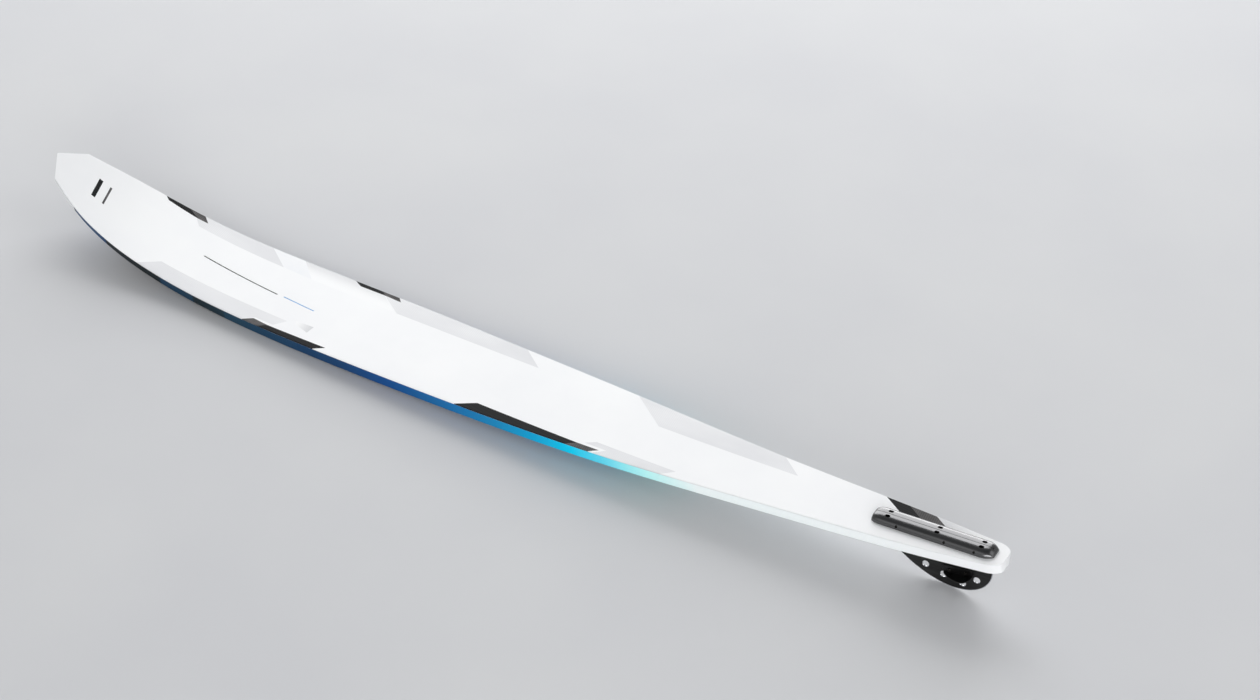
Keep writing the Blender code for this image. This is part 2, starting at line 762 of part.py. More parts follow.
def build_block(block_frame, materials):
    """The two rails of the fin block with the screws that hold them down and clamp the fin."""
    tab_pocket = make_object(
        "tab_pocket",
        prisms([rectangle(HALF_FIN + GAP, TAB_SIDE)], -CUTTER_REACH,
               BLOCK_HEIGHT - FIN_TOP_COVER + GAP, upright=True),
        None, block_frame)
    clamp_room = 0.5 * CLAMP_SCREW_DIAMETER + GAP
    clamp_centres = [(u, CLAMP_SCREW_HEIGHT + deck_in_block_frame(u)) for u in CLAMP_PLACES]
    clamp_holes = make_object(
        "clamp_holes",
        prisms([circle(clamp_room, ROUND_SIDES, spot) for spot in clamp_centres],
               0.0, CUTTER_REACH, upright=False),
        None, block_frame)
    head_slots = make_object(
        "head_slots",
        prisms([stadium(HEAD_ROOM, BLOCK_TRAVEL, spot) for spot in BLOCK_SCREW_SPOTS],
               BLOCK_SCREW_SEAT, CUTTER_REACH, upright=True),
        None, block_frame)
    shank_slots = make_object(
        "shank_slots",
        prisms([stadium(SHANK_ROOM, BLOCK_TRAVEL, spot) for spot in BLOCK_SCREW_SPOTS],
               -CUTTER_REACH, CUTTER_REACH, upright=True),
        None, block_frame)
    shared_cutters = [tab_pocket, head_slots, shank_slots]
    make_rail("fin_clamp_left", 1, materials["block"], block_frame, shared_cutters + [clamp_holes])
    make_rail("fin_clamp_right", -1, materials["block"], block_frame, shared_cutters)

    levels = screw_rings(0.5 * BLOCK_SCREW_HEAD, BLOCK_SCREW_HEAD_HEIGHT, 0.5 * BLOCK_SCREW_SHANK,
                         -BLOCK_SCREW_LENGTH, 0.5 * BLOCK_SCREW_HEAD)
    screw = make_mesh("block_screw", turned(levels), materials["steel"])
    for number, (u, y) in enumerate(BLOCK_SCREW_SPOTS, start=1):
        place_object(f"block_screw_{number}", screw, block_frame, (u, y, BLOCK_SCREW_SEAT + GAP))
    build_clamp_screws(block_frame, clamp_centres, materials)


def build_clamp_screws(block_frame, centres, materials):
    """Grub screws that press on the fin, sunk a little below the rail's shoulder."""
    flat = 0.5 * BLOCK_TOP_WIDTH
    across = 0.5 * BLOCK_WIDTH - flat
    rise = (CLAMP_SCREW_HEIGHT - GAP - BLOCK_TOE) / (BLOCK_HEIGHT - BLOCK_TOE)
    end = flat + across * math.sqrt(1 - rise * rise) - CLAMP_SCREW_SINK
    radius = 0.5 * CLAMP_SCREW_DIAMETER
    barrel = circle(radius, ROUND_SIDES)
    point = circle(CLAMP_POINT_SHARE * radius, ROUND_SIDES)
    socket = hexagon(radius, ROUND_SIDES)
    taper = (1 - CLAMP_POINT_SHARE) * radius
    levels = [(point, TAB_SIDE), (barrel, TAB_SIDE + taper), (barrel, end), (socket, end),
              (socket, end - radius)]
    screw = make_mesh("clamp_screw", turned(levels, upright=False), materials["steel"])
    for number, (u, height) in enumerate(centres, start=1):
        place_object(f"clamp_screw_{number}", screw, block_frame, (u, 0.0, height))


def build_fin(block_frame, materials):
    """The fin blade with its bevelled edge, its five holes and the wing's hole and slot."""
    outline = fin_outline()
    thin = inset_outline(outline, FIN_EDGE)
    half = 0.5 * FIN_THICKNESS
    rings = []
    for ring, level in ((thin, -half), (outline, -FIN_EDGE_LAND), (outline, FIN_EDGE_LAND), (thin, half)):
        rings.append([Vector((a, level, b)) for a, b in ring])
    fin = make_object("fin_blade", loft(rings), materials["fin"], block_frame, sharp=20.0)
    holes = [circle(0.5 * FIN_HOLE_DIAMETER, HOLE_SIDES, spot) for spot in fin_holes()]
    hole_cutter = make_object("fin_holes", prisms(holes, -CUTTER_REACH, CUTTER_REACH, upright=False),
                              None, block_frame)

    room = 0.5 * WING_SCREW_SHANK + GAP
    slot = arc_slot(WING_SCREW_SPACING, WING_PIVOT, math.pi - math.radians(WING_MOST_ANGLE),
                    math.pi - math.radians(WING_LEAST_ANGLE), room)
    pivot_hole = circle(room, ROUND_SIDES, WING_PIVOT)
    wing_cutter = make_object("wing_holes",
                              prisms([slot, pivot_hole], -CUTTER_REACH, CUTTER_REACH, upright=False),
                              None, block_frame)
    cut(fin, [hole_cutter, wing_cutter])


def build_wing(block_frame, materials):
    """The wing halves, screws and nuts, all about an empty on the pivot screw's axis."""
    hinge = make_empty("wing_hinge", block_frame, (WING_PIVOT[0], 0.0, WING_PIVOT[1]),
                       math.radians(WING_ANGLE))
    room = 0.5 * WING_SCREW_SHANK + GAP
    centres = [(0.0, 0.0), (-WING_SCREW_SPACING, 0.0)]
    holes = make_object("wing_screw_holes",
                        prisms([circle(room, ROUND_SIDES, spot) for spot in centres],
                               -CUTTER_REACH, CUTTER_REACH, upright=False),
                        None, hinge)
    make_wing_half("wing_left", 1, materials["wing"], hinge, [holes])
    make_wing_half("wing_right", -1, materials["wing"], hinge, [holes])

    seat = TAB_SIDE + WING_SHEET + GAP
    reach = 2 * seat + WING_NUT_HEIGHT + GAP
    head_levels = screw_rings(0.5 * WING_SCREW_HEAD, WING_SCREW_HEAD_HEIGHT, 0.5 * WING_SCREW_SHANK,
                              -reach, 0.45 * WING_SCREW_HEAD)
    nut_outer = hexagon(WING_NUT_FLATS, ROUND_SIDES)
    nut_bore = circle(room, ROUND_SIDES)
    for label, spot in zip(("pivot", "slot"), centres):
        screw = make_object(f"wing_{label}_screw", turned(head_levels), materials["steel"], hinge)
        screw.location = (spot[0], seat, spot[1])
        screw.rotation_euler = (-0.5 * math.pi, 0.0, 0.0)
        nut = make_object(f"wing_{label}_nut", tube(nut_outer, nut_bore, 0.0, WING_NUT_HEIGHT),
                          materials["steel"], hinge)
        nut.location = (spot[0], -seat, spot[1])
        nut.rotation_euler = (0.5 * math.pi, 0.0, 0.0)


def solid_points():
    """World positions of all finished solids' corners."""
    graph = bpy.context.evaluated_depsgraph_get()
    clouds = []
    for item in bpy.context.scene.objects:
        if item.type != "MESH" or item.hide_render:
            continue
        done = item.evaluated_get(graph)
        data = done.to_mesh()
        flat = np.empty(len(data.vertices) * 3)
        data.vertices.foreach_get("co", flat)
        turn = np.array(done.matrix_world)
        clouds.append(flat.reshape(-1, 3) @ turn[:3, :3].T + turn[:3, 3])
        done.to_mesh_clear()
    return np.vstack(clouds)


def rest_on_ground(frame):
    """Pitches the ski until its fin and its belly touch one level, and centres it there."""
    bpy.context.view_layer.update()
    points = solid_points()
    behind = points[:, 0] < 0.5 * LENGTH
    low = 0.0
    high = math.radians(15)
    for _ in range(40):
        pitch = 0.5 * (low + high)
        level = points[:, 2] * math.cos(pitch) - points[:, 0] * math.sin(pitch)
        if level[behind].min() < level[~behind].min():
            low = pitch
        else:
            high = pitch
    along = points[:, 0] * math.cos(pitch) + points[:, 2] * math.sin(pitch)
    level = points[:, 2] * math.cos(pitch) - points[:, 0] * math.sin(pitch)
    frame.rotation_euler = (0.0, pitch, 0.0)
    frame.location = (-0.5 * (along.min() + along.max()), 0.0, -level.min())
    bpy.context.view_layer.update()


def main():
    clear_scene()
    materials = {
        "deck": make_material("gloss_white_top_sheet", (0.86, 0.87, 0.88), 0.25),
        "base": make_material("blue_base_sheet", (0.06, 0.28, 0.50), 0.25),
        "foam": make_material("moulded_foam", (0.80, 0.72, 0.50), 0.9),
        "brass": make_material("brass_insert", (0.75, 0.60, 0.30), 0.35, 1.0),
        "block": make_material("black_anodised_block", (0.03, 0.03, 0.035), 0.28, 0.6),
        "fin": make_material("grey_anodised_fin", (0.10, 0.10, 0.11), 0.38, 0.7),
        "wing": make_material("dark_anodised_wing", (0.06, 0.06, 0.065), 0.35, 0.7),
        "steel": make_material("black_oxide_steel", (0.12, 0.12, 0.12), 0.35, 1.0),
    }
    frame = make_empty("ski_frame", None)
    block_frame = make_empty("block_frame", frame, (BLOCK_MIDDLE, 0.0, deck_height(BLOCK_MIDDLE)),
                             BLOCK_PITCH)
    build_ski(frame, block_frame, materials)
    build_block(block_frame, materials)
    build_fin(block_frame, materials)
    build_wing(block_frame, materials)
    rest_on_ground(frame)


main()
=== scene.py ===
"""Slalom water ski, laid out as an add-on and run as a script.

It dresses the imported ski: the printed top sheet and base sheet, the fin block
with its screws, the fin and the hinged wing. Every finished piece has its place
in its own mesh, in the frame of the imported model.
"""
import math
from collections import namedtuple

import bmesh
import bpy
import numpy as np
from bpy.props import FloatProperty, FloatVectorProperty, IntProperty, PointerProperty
from bpy.types import Operator, Panel, PropertyGroup
from mathutils import Matrix, Vector


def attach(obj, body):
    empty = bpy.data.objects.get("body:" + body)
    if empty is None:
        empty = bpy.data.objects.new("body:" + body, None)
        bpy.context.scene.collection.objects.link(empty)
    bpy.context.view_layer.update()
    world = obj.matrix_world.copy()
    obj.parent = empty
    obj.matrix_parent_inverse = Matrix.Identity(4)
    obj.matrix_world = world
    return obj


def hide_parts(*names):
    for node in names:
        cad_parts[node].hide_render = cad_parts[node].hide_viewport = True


bl_info = {
    "name": "Slalom Water Ski",
    "version": (1, 0, 0),
    "blender": (4, 5, 0),
    "location": "View3D > Sidebar > Water Ski",
    "description": "Builds a slalom water ski with its fin block, fin and wing",
    "category": "Add Mesh",
}

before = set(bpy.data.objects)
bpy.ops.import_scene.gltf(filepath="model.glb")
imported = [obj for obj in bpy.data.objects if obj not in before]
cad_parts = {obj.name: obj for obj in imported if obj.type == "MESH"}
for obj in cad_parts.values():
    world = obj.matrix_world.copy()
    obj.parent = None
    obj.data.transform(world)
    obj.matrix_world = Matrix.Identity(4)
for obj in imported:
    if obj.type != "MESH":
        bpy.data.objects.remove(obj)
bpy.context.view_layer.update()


# Shape of the moulded ski: share of the length from the tail, value in metres
LENGTH = 1.651
OUTLINE = (
    (0.0, 0.0231), (0.08, 0.0369), (0.2, 0.0514), (0.35, 0.0708), (0.5, 0.0821), (0.65, 0.0866),
    (0.78, 0.0843), (0.86, 0.0787), (0.92, 0.0697), (0.955, 0.0574), (0.984, 0.0406),
)
ROCKER = (
    (0.0, 0.0224), (0.15, 0.0083), (0.3, -0.0012), (0.45, -0.0033), (0.6, -0.0001), (0.72, 0.0039),
    (0.8, 0.0116), (0.86, 0.0257), (0.92, 0.0522), (0.96, 0.0794), (1.0, 0.116),
)
THICKNESS = (
    (0.0, 0.0189), (0.3, 0.0191), (0.5, 0.0204), (0.62, 0.0209), (0.75, 0.0194), (0.88, 0.0161),
    (1.0, 0.0118),
)
TUNNEL = (
    (0.0, 0.0002), (0.12, 0.0022), (0.35, 0.0030), (0.62, 0.0028), (0.80, 0.0012), (0.90, 0.0),
    (1.0, 0.0),
)
# Ends in plan: how far the tail's rounding reaches and the half width that it ends in, then the
# same for the nose, with the place where its sides would meet and the radius of its rounding
TAIL_ROUND = 0.020
TAIL_FLAT = 0.0105
NOSE_ROUNDING = 0.00104
NOSE_FLAT = 0.0018
NOSE_POINT = 1.6522
NOSE_RADIUS = 0.006
# Section: the rail's lean, the edges under it and the half width from which they are full size,
# and where across the tunnel its points lie
RAIL_SLANT = 0.0025
BASE_EDGE_ROUND = 0.0035
BASE_BEVEL = 0.008
FULL_RAIL_FROM = 0.020
TUNNEL_SHARES = (1.0, 0.86, 0.72, 0.56, 0.4, 0.2, 0.0)
# Thickness of the laminates, how many of them the hollow ends short of the tip, the gap between
# neighbours, and the seam down the fin block's middle
SKIN = 0.0012
HOLLOW_SHORT = 4.0
GAP = 0.0003
SEAM = 0.0003

# Printed colour fields on the deck and one field of painted shade along the far edge, in the ski's frame,
# past the edge on their outer side.
# Later ones lie over earlier ones; the number picks the finish in top_sheet_finishes.
WHITE, SILVER, ICE, CHARCOAL, SMOKE, STRIPE, FADE_AFT, PAINTED_EDGE_SHADE, FADE_TAIL = range(9)
DECK_FIELDS = (
    (SILVER, ((1.4569, -0.0850), (1.4210, -0.0528), (1.2547, -0.0529), (1.3102, -0.0920))),
    (ICE, ((1.3102, -0.0920), (1.2547, -0.0529), (1.2000, -0.0520), (1.2458, -0.0935))),
    # Painted shade along the far edge, between the ice field and the charcoal field
    (PAINTED_EDGE_SHADE, ((1.2458, -0.0935), (1.2000, -0.0520), (1.0450, -0.0520), (1.1011, -0.0947))),
    (CHARCOAL, ((1.5128, -0.0802), (1.4910, -0.0666), (1.4330, -0.0660), (1.4756, -0.0843))),
    (SMOKE, ((1.4756, -0.0843), (1.4330, -0.0660), (1.4140, -0.0673), (1.4382, -0.0862))),
    (SILVER, ((1.1011, -0.0947), (1.0720, -0.0737), (1.0380, -0.0514), (0.7810, -0.0526),
              (0.8306, -0.0899))),
    (CHARCOAL, ((1.1563, -0.0946), (1.1260, -0.0788), (1.0770, -0.0792), (1.1074, -0.0947))),
    (SMOKE, ((1.1074, -0.0947), (1.0770, -0.0792), (1.0490, -0.0776), (1.0661, -0.0945))),
    (SILVER, ((0.6305, -0.0814), (0.5576, -0.0261), (0.3294, -0.0246), (0.3747, -0.0620))),
    (CHARCOAL, ((0.2118, -0.0504), (0.1609, -0.0150), (0.1291, -0.0150), (0.1742, -0.0475))),
    (SMOKE, ((0.1742, -0.0475), (0.1291, -0.0150), (0.0914, -0.0150), (0.1317, -0.0438))),
    (FADE_TAIL, ((0.1317, -0.0438), (0.0914, -0.0150), (0.0300, -0.0150), (0.0300, -0.0320))),
    (SILVER, ((1.4458, 0.0856), (1.4116, 0.0506), (1.1530, 0.0528), (1.1800, 0.0716),
              (1.1955, 0.0943))),
    (FADE_AFT, ((1.1520, 0.0522), (1.1560, 0.0447), (1.1242, 0.0434), (1.1253, 0.0597))),
    (WHITE, ((1.2411, 0.0936), (1.2130, 0.0714), (1.0700, 0.0716), (1.1006, 0.0947))),
    (SMOKE, ((1.2392, 0.0937), (1.2146, 0.0744), (1.1867, 0.0766), (1.2071, 0.0942))),
    (CHARCOAL, ((1.2071, 0.0942), (1.1867, 0.0766), (1.0787, 0.0748), (1.1056, 0.0947))),
    (SILVER, ((0.6452, 0.0826), (0.6298, 0.0590), (0.6154, 0.0492), (0.4840, 0.0499),
              (0.5099, 0.0731))),
    (WHITE, ((0.8551, 0.0907), (0.8150, 0.0590), (0.5940, 0.0590), (0.6162, 0.0807))),
    (CHARCOAL, ((0.8529, 0.0906), (0.8123, 0.0633), (0.6390, 0.0645), (0.6642, 0.0833))),
    (SMOKE, ((0.6642, 0.0833), (0.6390, 0.0645), (0.6030, 0.0634), (0.6266, 0.0812))),
    (CHARCOAL, ((1.5790, -0.0180), (1.5860, -0.0180), (1.5740, 0.0180), (1.5670, 0.0180))),
    (SMOKE, ((1.5620, -0.0180), (1.5655, -0.0180), (1.5535, 0.0180), (1.5500, 0.0180))),
    (CHARCOAL, ((1.3700, -0.0032), (1.3717, -0.0014), (1.2217, 0.0084), (1.2200, 0.0066))),
    (STRIPE, ((1.2080, 0.0060), (1.2097, 0.0078), (1.1497, 0.0117), (1.1480, 0.0099))),
)
# The fading fields, the one to the edge being painted shade: finish, axis, where it is clear and where it
# is full
FADES = (
    ("printed_top_sheet_fade_aft", 0, 1.156, 1.122),
    # Painted shade along the far edge, full at the edge and clear further in
    ("printed_top_sheet_fade_to_edge", 1, -0.058, -0.096),
    ("printed_top_sheet_fade_to_tail", 0, 0.040, 0.112),
)
# Steel blue bands across the base: where each starts and ends on the left rail, and how much
# nearer the tip it lies on the right one
BASE_BANDS = ((1.560, 1.495), (1.386, 1.321), (1.260, 1.120))
BASE_BAND_SLANT = 0.060
TIP_CAP_FROM = 1.577

# Where the ski's own frame, the block's and the wing hinge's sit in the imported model
SKI_PITCH = 2.4743
SKI_ORIGIN = (-0.82731, 0.0, 0.067305)
BLOCK_MIDDLE = 0.105
BLOCK_PITCH = 3.3436
WING_PIVOT = (-0.0224, 0.0, -0.0518)
WING_ANGLE = 7.5

# Fin block, along the ski from its middle, and its screws; the stern's rows are place, half width
# and height
HALF_BLOCK = 0.091
HALF_FIN = 0.08575
BLOCK_BODY = (-0.072, 0.0745)
BLOCK_HALF_WIDTH = 0.0165
BLOCK_HEIGHT = 0.0100
BLOCK_NOSE_HALF_WIDTH = 0.0121
BLOCK_NOSE_HEIGHT = 0.0060
BLOCK_TOP_FLAT = 0.0046
BLOCK_TOE = 0.0010
BLOCK_STERN = (
    (-0.0900, 0.0090, 0.0030), (-0.0892, 0.0100, 0.0042), (-0.0868, 0.0118, 0.0066),
    (-0.0842, 0.0134, 0.0085), (-0.0817, 0.0146, 0.0094), (-0.0792, 0.0155, 0.0099),
    (-0.0762, 0.0162, 0.0100),
)
FIN_COVER = 0.0083
FIN_TAB_SIDE = 0.0011
SCREW_ROWS = (0.0695, -0.0045, -0.0705)
SCREW_SIDE = 0.0055
SCREW_SEAT = 0.0048
SCREW_SEAT_RADIUS = 0.0026
SCREW_SHANK = 0.0028
SCREW_ROOM = 0.0017
SCREW_TRAVEL = 0.0012
SCREW_SIDES = 24
CLAMP_ROWS = (0.052, -0.0195, -0.0637)
CLAMP_HEIGHT = 0.0048
CLAMP_END = 0.0151
CLAMP_HOLE_RADIUS = 0.0018
SLOT_END_ROOM = 0.0005
SLOT_SIDE_ROOM = 0.0006
REACH = 0.05

# Fin blade in the block's frame: control points of its rear and front edge, its holes and its
# printed bars
FIN_TOP = 0.0068
FIN_SOLE = -0.0819
FIN_REAR_EDGE = ((-HALF_FIN, -0.0372), (-0.08295, -0.0655), (-0.058, FIN_SOLE), (-0.030, FIN_SOLE))
FIN_FRONT_EDGE = ((-0.030, FIN_SOLE), (0.012, FIN_SOLE), (0.05295, -0.0545), (HALF_FIN, -0.0165))
FIN_HOLES = (
    (0.0136, -0.0562), (-0.0132, -0.0641), (-0.0421, -0.0692), (-0.0630, -0.0559), (-0.0727, -0.0249),
)
FIN_HOLE_RADIUS = 0.0048
FIN_HALF = 0.0008
FIN_BARS = (
    ((0.0200, -0.0225), (0.0330, -0.0255), (0.0300, -0.0440), (0.0170, -0.0440)),
    ((0.0110, -0.0225), (0.0140, -0.0225), (0.0110, -0.0440), (0.0080, -0.0440)),
)

# Wing in the hinge's frame: control points of half a blade's outline, its flange and screws, and how
# many degrees the fin's slot for the rear screw spans
WING_INNER = 0.0011
WING_LEADING = ((0.0097, 0.0011), (0.0086, 0.0100), (-0.0120, 0.0200), (-0.0240, 0.0200))
WING_TRAILING = ((-0.0240, 0.0200), (-0.0310, 0.0200), (-0.0335, 0.0100), (-0.0349, 0.0011))
WING_FLANGE = (
    (-0.0349, -0.0050), (0.0097, -0.0050), (0.0108, 0.0040), (0.0083, 0.0065), (-0.0313, 0.0065),
    (-0.0338, 0.0040),
)
WING_SHEET = 0.0012
WING_FOOT = -0.0050
WING_SCREWS = ((0.0, 0.0), (-0.0246, 0.0))
WING_SEAT = 0.0026
WING_SCREW_REACH = 0.0077
WING_SCREW_HEAD_HEIGHT = 0.0016
WING_SLOT_SPAN = 12.0
NUT_FLATS = 0.0055
NUT_HEIGHT = 0.0022

# Finishes: an even spread, the coat's orange peel (size in mm, depth), and the roughness, coat and
# gloss of the dark inks and of the base sheet
EVEN = (1.0, 1.0, 1.0)
ORANGE_PEEL = (2.2, 0.10)
DARK_INK = (0.5, 0.0, 0.04)
BASE_COAT = (0.36, 0.05, 0.12)


def hex_to_linear(code):
    """An sRGB hex code as the linear colour that the shaders take."""
    channels = [int(code[i:i + 2], 16) / 255 for i in (1, 3, 5)]
    linear = [c / 12.92 if c <= 0.04045 else ((c + 0.055) / 1.055) ** 2.4 for c in channels]
    return (*linear, 1.0)


def natural_spline(table):
    """Natural cubic through (share of the length, value) pairs."""
    x, y = np.array(table, float).T
    x = x * LENGTH
    step = np.diff(x)
    count = len(x)
    matrix = np.eye(count)
    right = np.zeros(count)
    for i in range(1, count - 1):
        matrix[i, i - 1:i + 2] = step[i - 1], 2 * (step[i - 1] + step[i]), step[i]
        right[i] = 6 * ((y[i + 1] - y[i]) / step[i] - (y[i] - y[i - 1]) / step[i - 1])
    bend = np.linalg.solve(matrix, right)

    def value(at):
        i = int(np.clip(np.searchsorted(x, at) - 1, 0, count - 2))
        ahead = x[i + 1] - at
        behind = at - x[i]
        curved = (bend[i] * ahead ** 3 + bend[i + 1] * behind ** 3) / (6 * step[i])
        from_left = (y[i] / step[i] - bend[i] * step[i] / 6) * ahead
        from_right = (y[i + 1] / step[i] - bend[i + 1] * step[i] / 6) * behind
        return float(curved + from_left + from_right)

    return value


side_curve = natural_spline(OUTLINE)
deck_height = natural_spline(ROCKER)
thickness = natural_spline(THICKNESS)
tunnel_curve = natural_spline(TUNNEL)
NOSE_CORNER = OUTLINE[-1][0] * LENGTH


def frame_at(place, pitch, parent=Matrix()):
    """A frame at a place in its parent, pitched about Y by degrees."""
    return parent @ (Matrix.Translation(place) @ Matrix.Rotation(math.radians(pitch), 4, "Y"))


SKI_FRAME = frame_at(SKI_ORIGIN, SKI_PITCH)
BLOCK_FRAME = frame_at((BLOCK_MIDDLE, 0.0, deck_height(BLOCK_MIDDLE)), BLOCK_PITCH, SKI_FRAME)
WING_FRAME = frame_at(WING_PIVOT, WING_ANGLE, BLOCK_FRAME)


def half_width(x):
    """Half width of the deck at x, with the rounded tail and the rounded nose."""
    if x > NOSE_CORNER:
        short = max(0.0, LENGTH - x)
        if short < NOSE_ROUNDING:
            return max(NOSE_FLAT, math.sqrt(short * (2 * NOSE_RADIUS - short)))
        return OUTLINE[-1][1] * (NOSE_POINT - x) / (NOSE_POINT - NOSE_CORNER)
    width = side_curve(x)
    if x < TAIL_ROUND:
        lean = (TAIL_ROUND - x) / TAIL_ROUND
        width -= (side_curve(0.0) - TAIL_FLAT) * (1 - math.sqrt(max(0.0, 1 - lean * lean)))
    return width


def section_places(spacing, inset=0.0):
    """Places along the ski where its section is drawn, drawn in at both ends by inset."""
    tail = [TAIL_ROUND * (1 - math.cos(0.5 * math.pi * i / 12)) for i in range(12)]
    count = round((NOSE_CORNER - TAIL_ROUND) / spacing)
    middle = np.linspace(TAIL_ROUND, NOSE_CORNER, count, endpoint=False)
    nose = np.linspace(NOSE_CORNER, LENGTH - NOSE_ROUNDING, 7)
    tip = [LENGTH - NOSE_ROUNDING * share for share in (0.58, 0.26)]
    near_end = 0.0002
    last = LENGTH - HOLLOW_SHORT * inset
    inside = [x for x in (*tail, *middle, *nose, *tip) if inset + near_end < x < last - near_end]
    return [inset] + inside + [last]


def outline_lean(x):
    """How much wider a sideways inset is than one square to the outline."""
    low = max(0.0, x - 0.002)
    high = min(LENGTH, x + 0.002)
    return min(2.0, math.hypot(1.0, (half_width(high) - half_width(low)) / (high - low)))


def mirrored(side):
    """A closed ring from its left half, given from the top edge to the centre line."""
    return side + [(-y, d) for y, d in reversed(side) if y > 0.0]


def deck_ring(x, edge):
    """Section of the top sheet with its rounded upper edges."""
    half = half_width(x)
    lean = RAIL_SLANT * SKIN / (thickness(x) - BASE_EDGE_ROUND)
    side = [(half - lean, SKIN)]
    side += [(half - edge * (1 - b), edge * (1 - a)) for a, b in arc(1.0, 0.5 * math.pi, 0.0, 4)]
    flat = half - 1.6 * edge
    side += [(flat * share, 0.0) for share in (1.0, 0.75, 0.5, 0.25, 0.0)]
    return [(x, y, deck_height(x) - d) for y, d in mirrored(side)]


def hull_ring(x, inset, top):
    """Section of the base, rails and tunnel, drawn in by inset, from depth top downwards."""
    width = half_width(x) - inset * outline_lean(x)
    depth = thickness(x) - inset
    ease = min(1.0, half_width(x) / FULL_RAIL_FROM)
    edge = ease * (BASE_EDGE_ROUND - 0.7 * inset)
    slope = ease * RAIL_SLANT / (thickness(x) - BASE_EDGE_ROUND)
    foot = width - slope * (depth - edge)
    bevel_end = foot - edge - ease * BASE_BEVEL
    middle = 0.5 * (top + depth - edge)
    side = [(width - slope * top, top), (width - slope * middle, middle)]
    side += [(foot - edge * (1 - a), depth - edge * (1 - b)) for a, b in arc(1.0, 0.0, 0.5 * math.pi, 5)]
    rise = max(tunnel_curve(x), 0.0)
    side += [(bevel_end * share, depth - rise * (1 - share * share)) for share in TUNNEL_SHARES]
    return [(x, y, deck_height(x) - d) for y, d in mirrored(side)]


def deck_in_block(u):
    """Height of the deck above the block frame's plane, at u along the block."""
    pitch = math.radians(BLOCK_PITCH)
    x = BLOCK_MIDDLE + u * math.cos(pitch)
    rise = deck_height(x) - deck_height(BLOCK_MIDDLE)
    return rise * math.cos(pitch) + (x - BLOCK_MIDDLE) * math.sin(pitch)


def loft(rings, mesh=None, capped=True):
    """Skins a row of closed rings with as many points each, and caps its ends or joins them."""
    mesh = mesh or bmesh.new()
    loops = [[mesh.verts.new(point) for point in points] for points in rings]
    count = len(loops[0])
    for first, second in zip(loops, loops[1:] if capped else loops[1:] + loops[:1]):
        for i in range(count):
            j = (i + 1) % count
            mesh.faces.new((first[i], first[j], second[j], second[i]))
    if capped:
        mesh.faces.new(list(reversed(loops[0])))
        mesh.faces.new(loops[-1])
    bmesh.ops.recalc_face_normals(mesh, faces=mesh.faces)
    return mesh


def stack(rings, upright=True, mesh=None, capped=True):
    """Lofts (outline, level) pairs: along Z, or along Y where they aren't upright."""
    return loft([[(a, b, level) if upright else (a, level, b) for a, b in outline]
                 for outline, level in rings], mesh, capped)


def plate(outline, low, high, bevel, land, upright=True):
    """A flat plate with bevelled edges, whose widest outline is a land in the middle."""
    middle = 0.5 * (low + high)
    thin = inset_outline(outline, bevel)
    return stack(((thin, low), (outline, middle - land), (outline, middle + land), (thin, high)),
                 upright)


def arc(radius, first, last, steps, centre=(0.0, 0.0)):
    """Points on an arc from one angle to another."""
    return [(centre[0] + radius * math.cos(turn), centre[1] + radius * math.sin(turn))
            for turn in np.linspace(first, last, steps + 1)]


def circle(radius, sides=SCREW_SIDES, centre=(0.0, 0.0)):
    start = math.pi / sides
    return arc(radius, start, start + 2 * math.pi, sides, centre)[:-1]


def stadium(radius, travel, centre):
    """Outline of a slot along the first axis, longer than wide by twice the travel."""
    quarter = 0.5 * math.pi
    return (arc(radius, -quarter, quarter, 12, (centre[0] + travel, centre[1]))
            + arc(radius, quarter, 3 * quarter, 12, (centre[0] - travel, centre[1])))


def arc_slot(radius, middle, first, last, room):
    """Outline of a slot along an arc about a point, between two angles, with round ends."""
    front, rear = [(middle[0] + radius * math.cos(turn), middle[1] + radius * math.sin(turn))
                   for turn in (last, first)]
    half_turn = math.pi
    return (arc(radius + room, first, last, 10, middle)
            + arc(room, last, last + half_turn, 12, front)[1:-1]
            + arc(radius - room, last, first, 10, middle)
            + arc(room, first + half_turn, first + 2 * half_turn, 12, rear)[1:-1])


def cubic(points, steps):
    """Points on a cubic curve, without its last point."""
    result = []
    for i in range(steps):
        t = i / steps
        weights = ((1 - t) ** 3, 3 * t * (1 - t) ** 2, 3 * t * t * (1 - t), t ** 3)
        result.append(tuple(sum(w * np.array(p) for w, p in zip(weights, points))))
    return result


def inset_outline(outline, inset):
    """An anticlockwise outline drawn in square to its sides."""
    points = [Vector(p) for p in outline]
    result = []
    for i, point in enumerate(points):
        before = (point - points[i - 1]).normalized()
        after = (points[(i + 1) % len(points)] - point).normalized()
        side = Vector((-before.y - after.y, before.x + after.x)).normalized()
        reach = max(0.4, side.dot(Vector((-before.y, before.x))))
        result.append(tuple(point + side * inset / reach))
    return result


def inlay(mesh, outline, index, pick, axes=(0, 1)):
    """Cuts a convex outline into the picked faces and gives what is inside it a material."""
    outline = list(outline)
    x, y = np.array(outline).T
    if x @ np.roll(y, -1) < y @ np.roll(x, -1):
        outline.reverse()  # it ran clockwise
    first, second = axes
    low, high = np.min(outline, axis=0), np.max(outline, axis=0)
    sides = list(zip(outline, outline[1:] + outline[:1]))

    def reached(face):
        if not pick(face.normal):
            return False
        spans = ([v.co[first] for v in face.verts], [v.co[second] for v in face.verts])
        return all(max(span) > low[i] and min(span) < high[i] for i, span in enumerate(spans))

    for (ax, ay), (bx, by) in sides:
        faces = [f for f in mesh.faces if reached(f)]
        geometry = set(faces)
        for face in faces:
            geometry.update(face.edges)
            geometry.update(face.verts)
        place, across = Vector(), Vector()
        place[first], place[second] = ax, ay
        across[first], across[second] = by - ay, ax - bx
        bmesh.ops.bisect_plane(mesh, geom=list(geometry), dist=1e-7, plane_co=place, plane_no=across)
    for face in mesh.faces:
        if not reached(face):
            continue
        centre = face.calc_center_median()
        if all((bx - ax) * (centre[second] - ay) - (by - ay) * (centre[first] - ax) > 0
               for (ax, ay), (bx, by) in sides):
            face.material_index = index


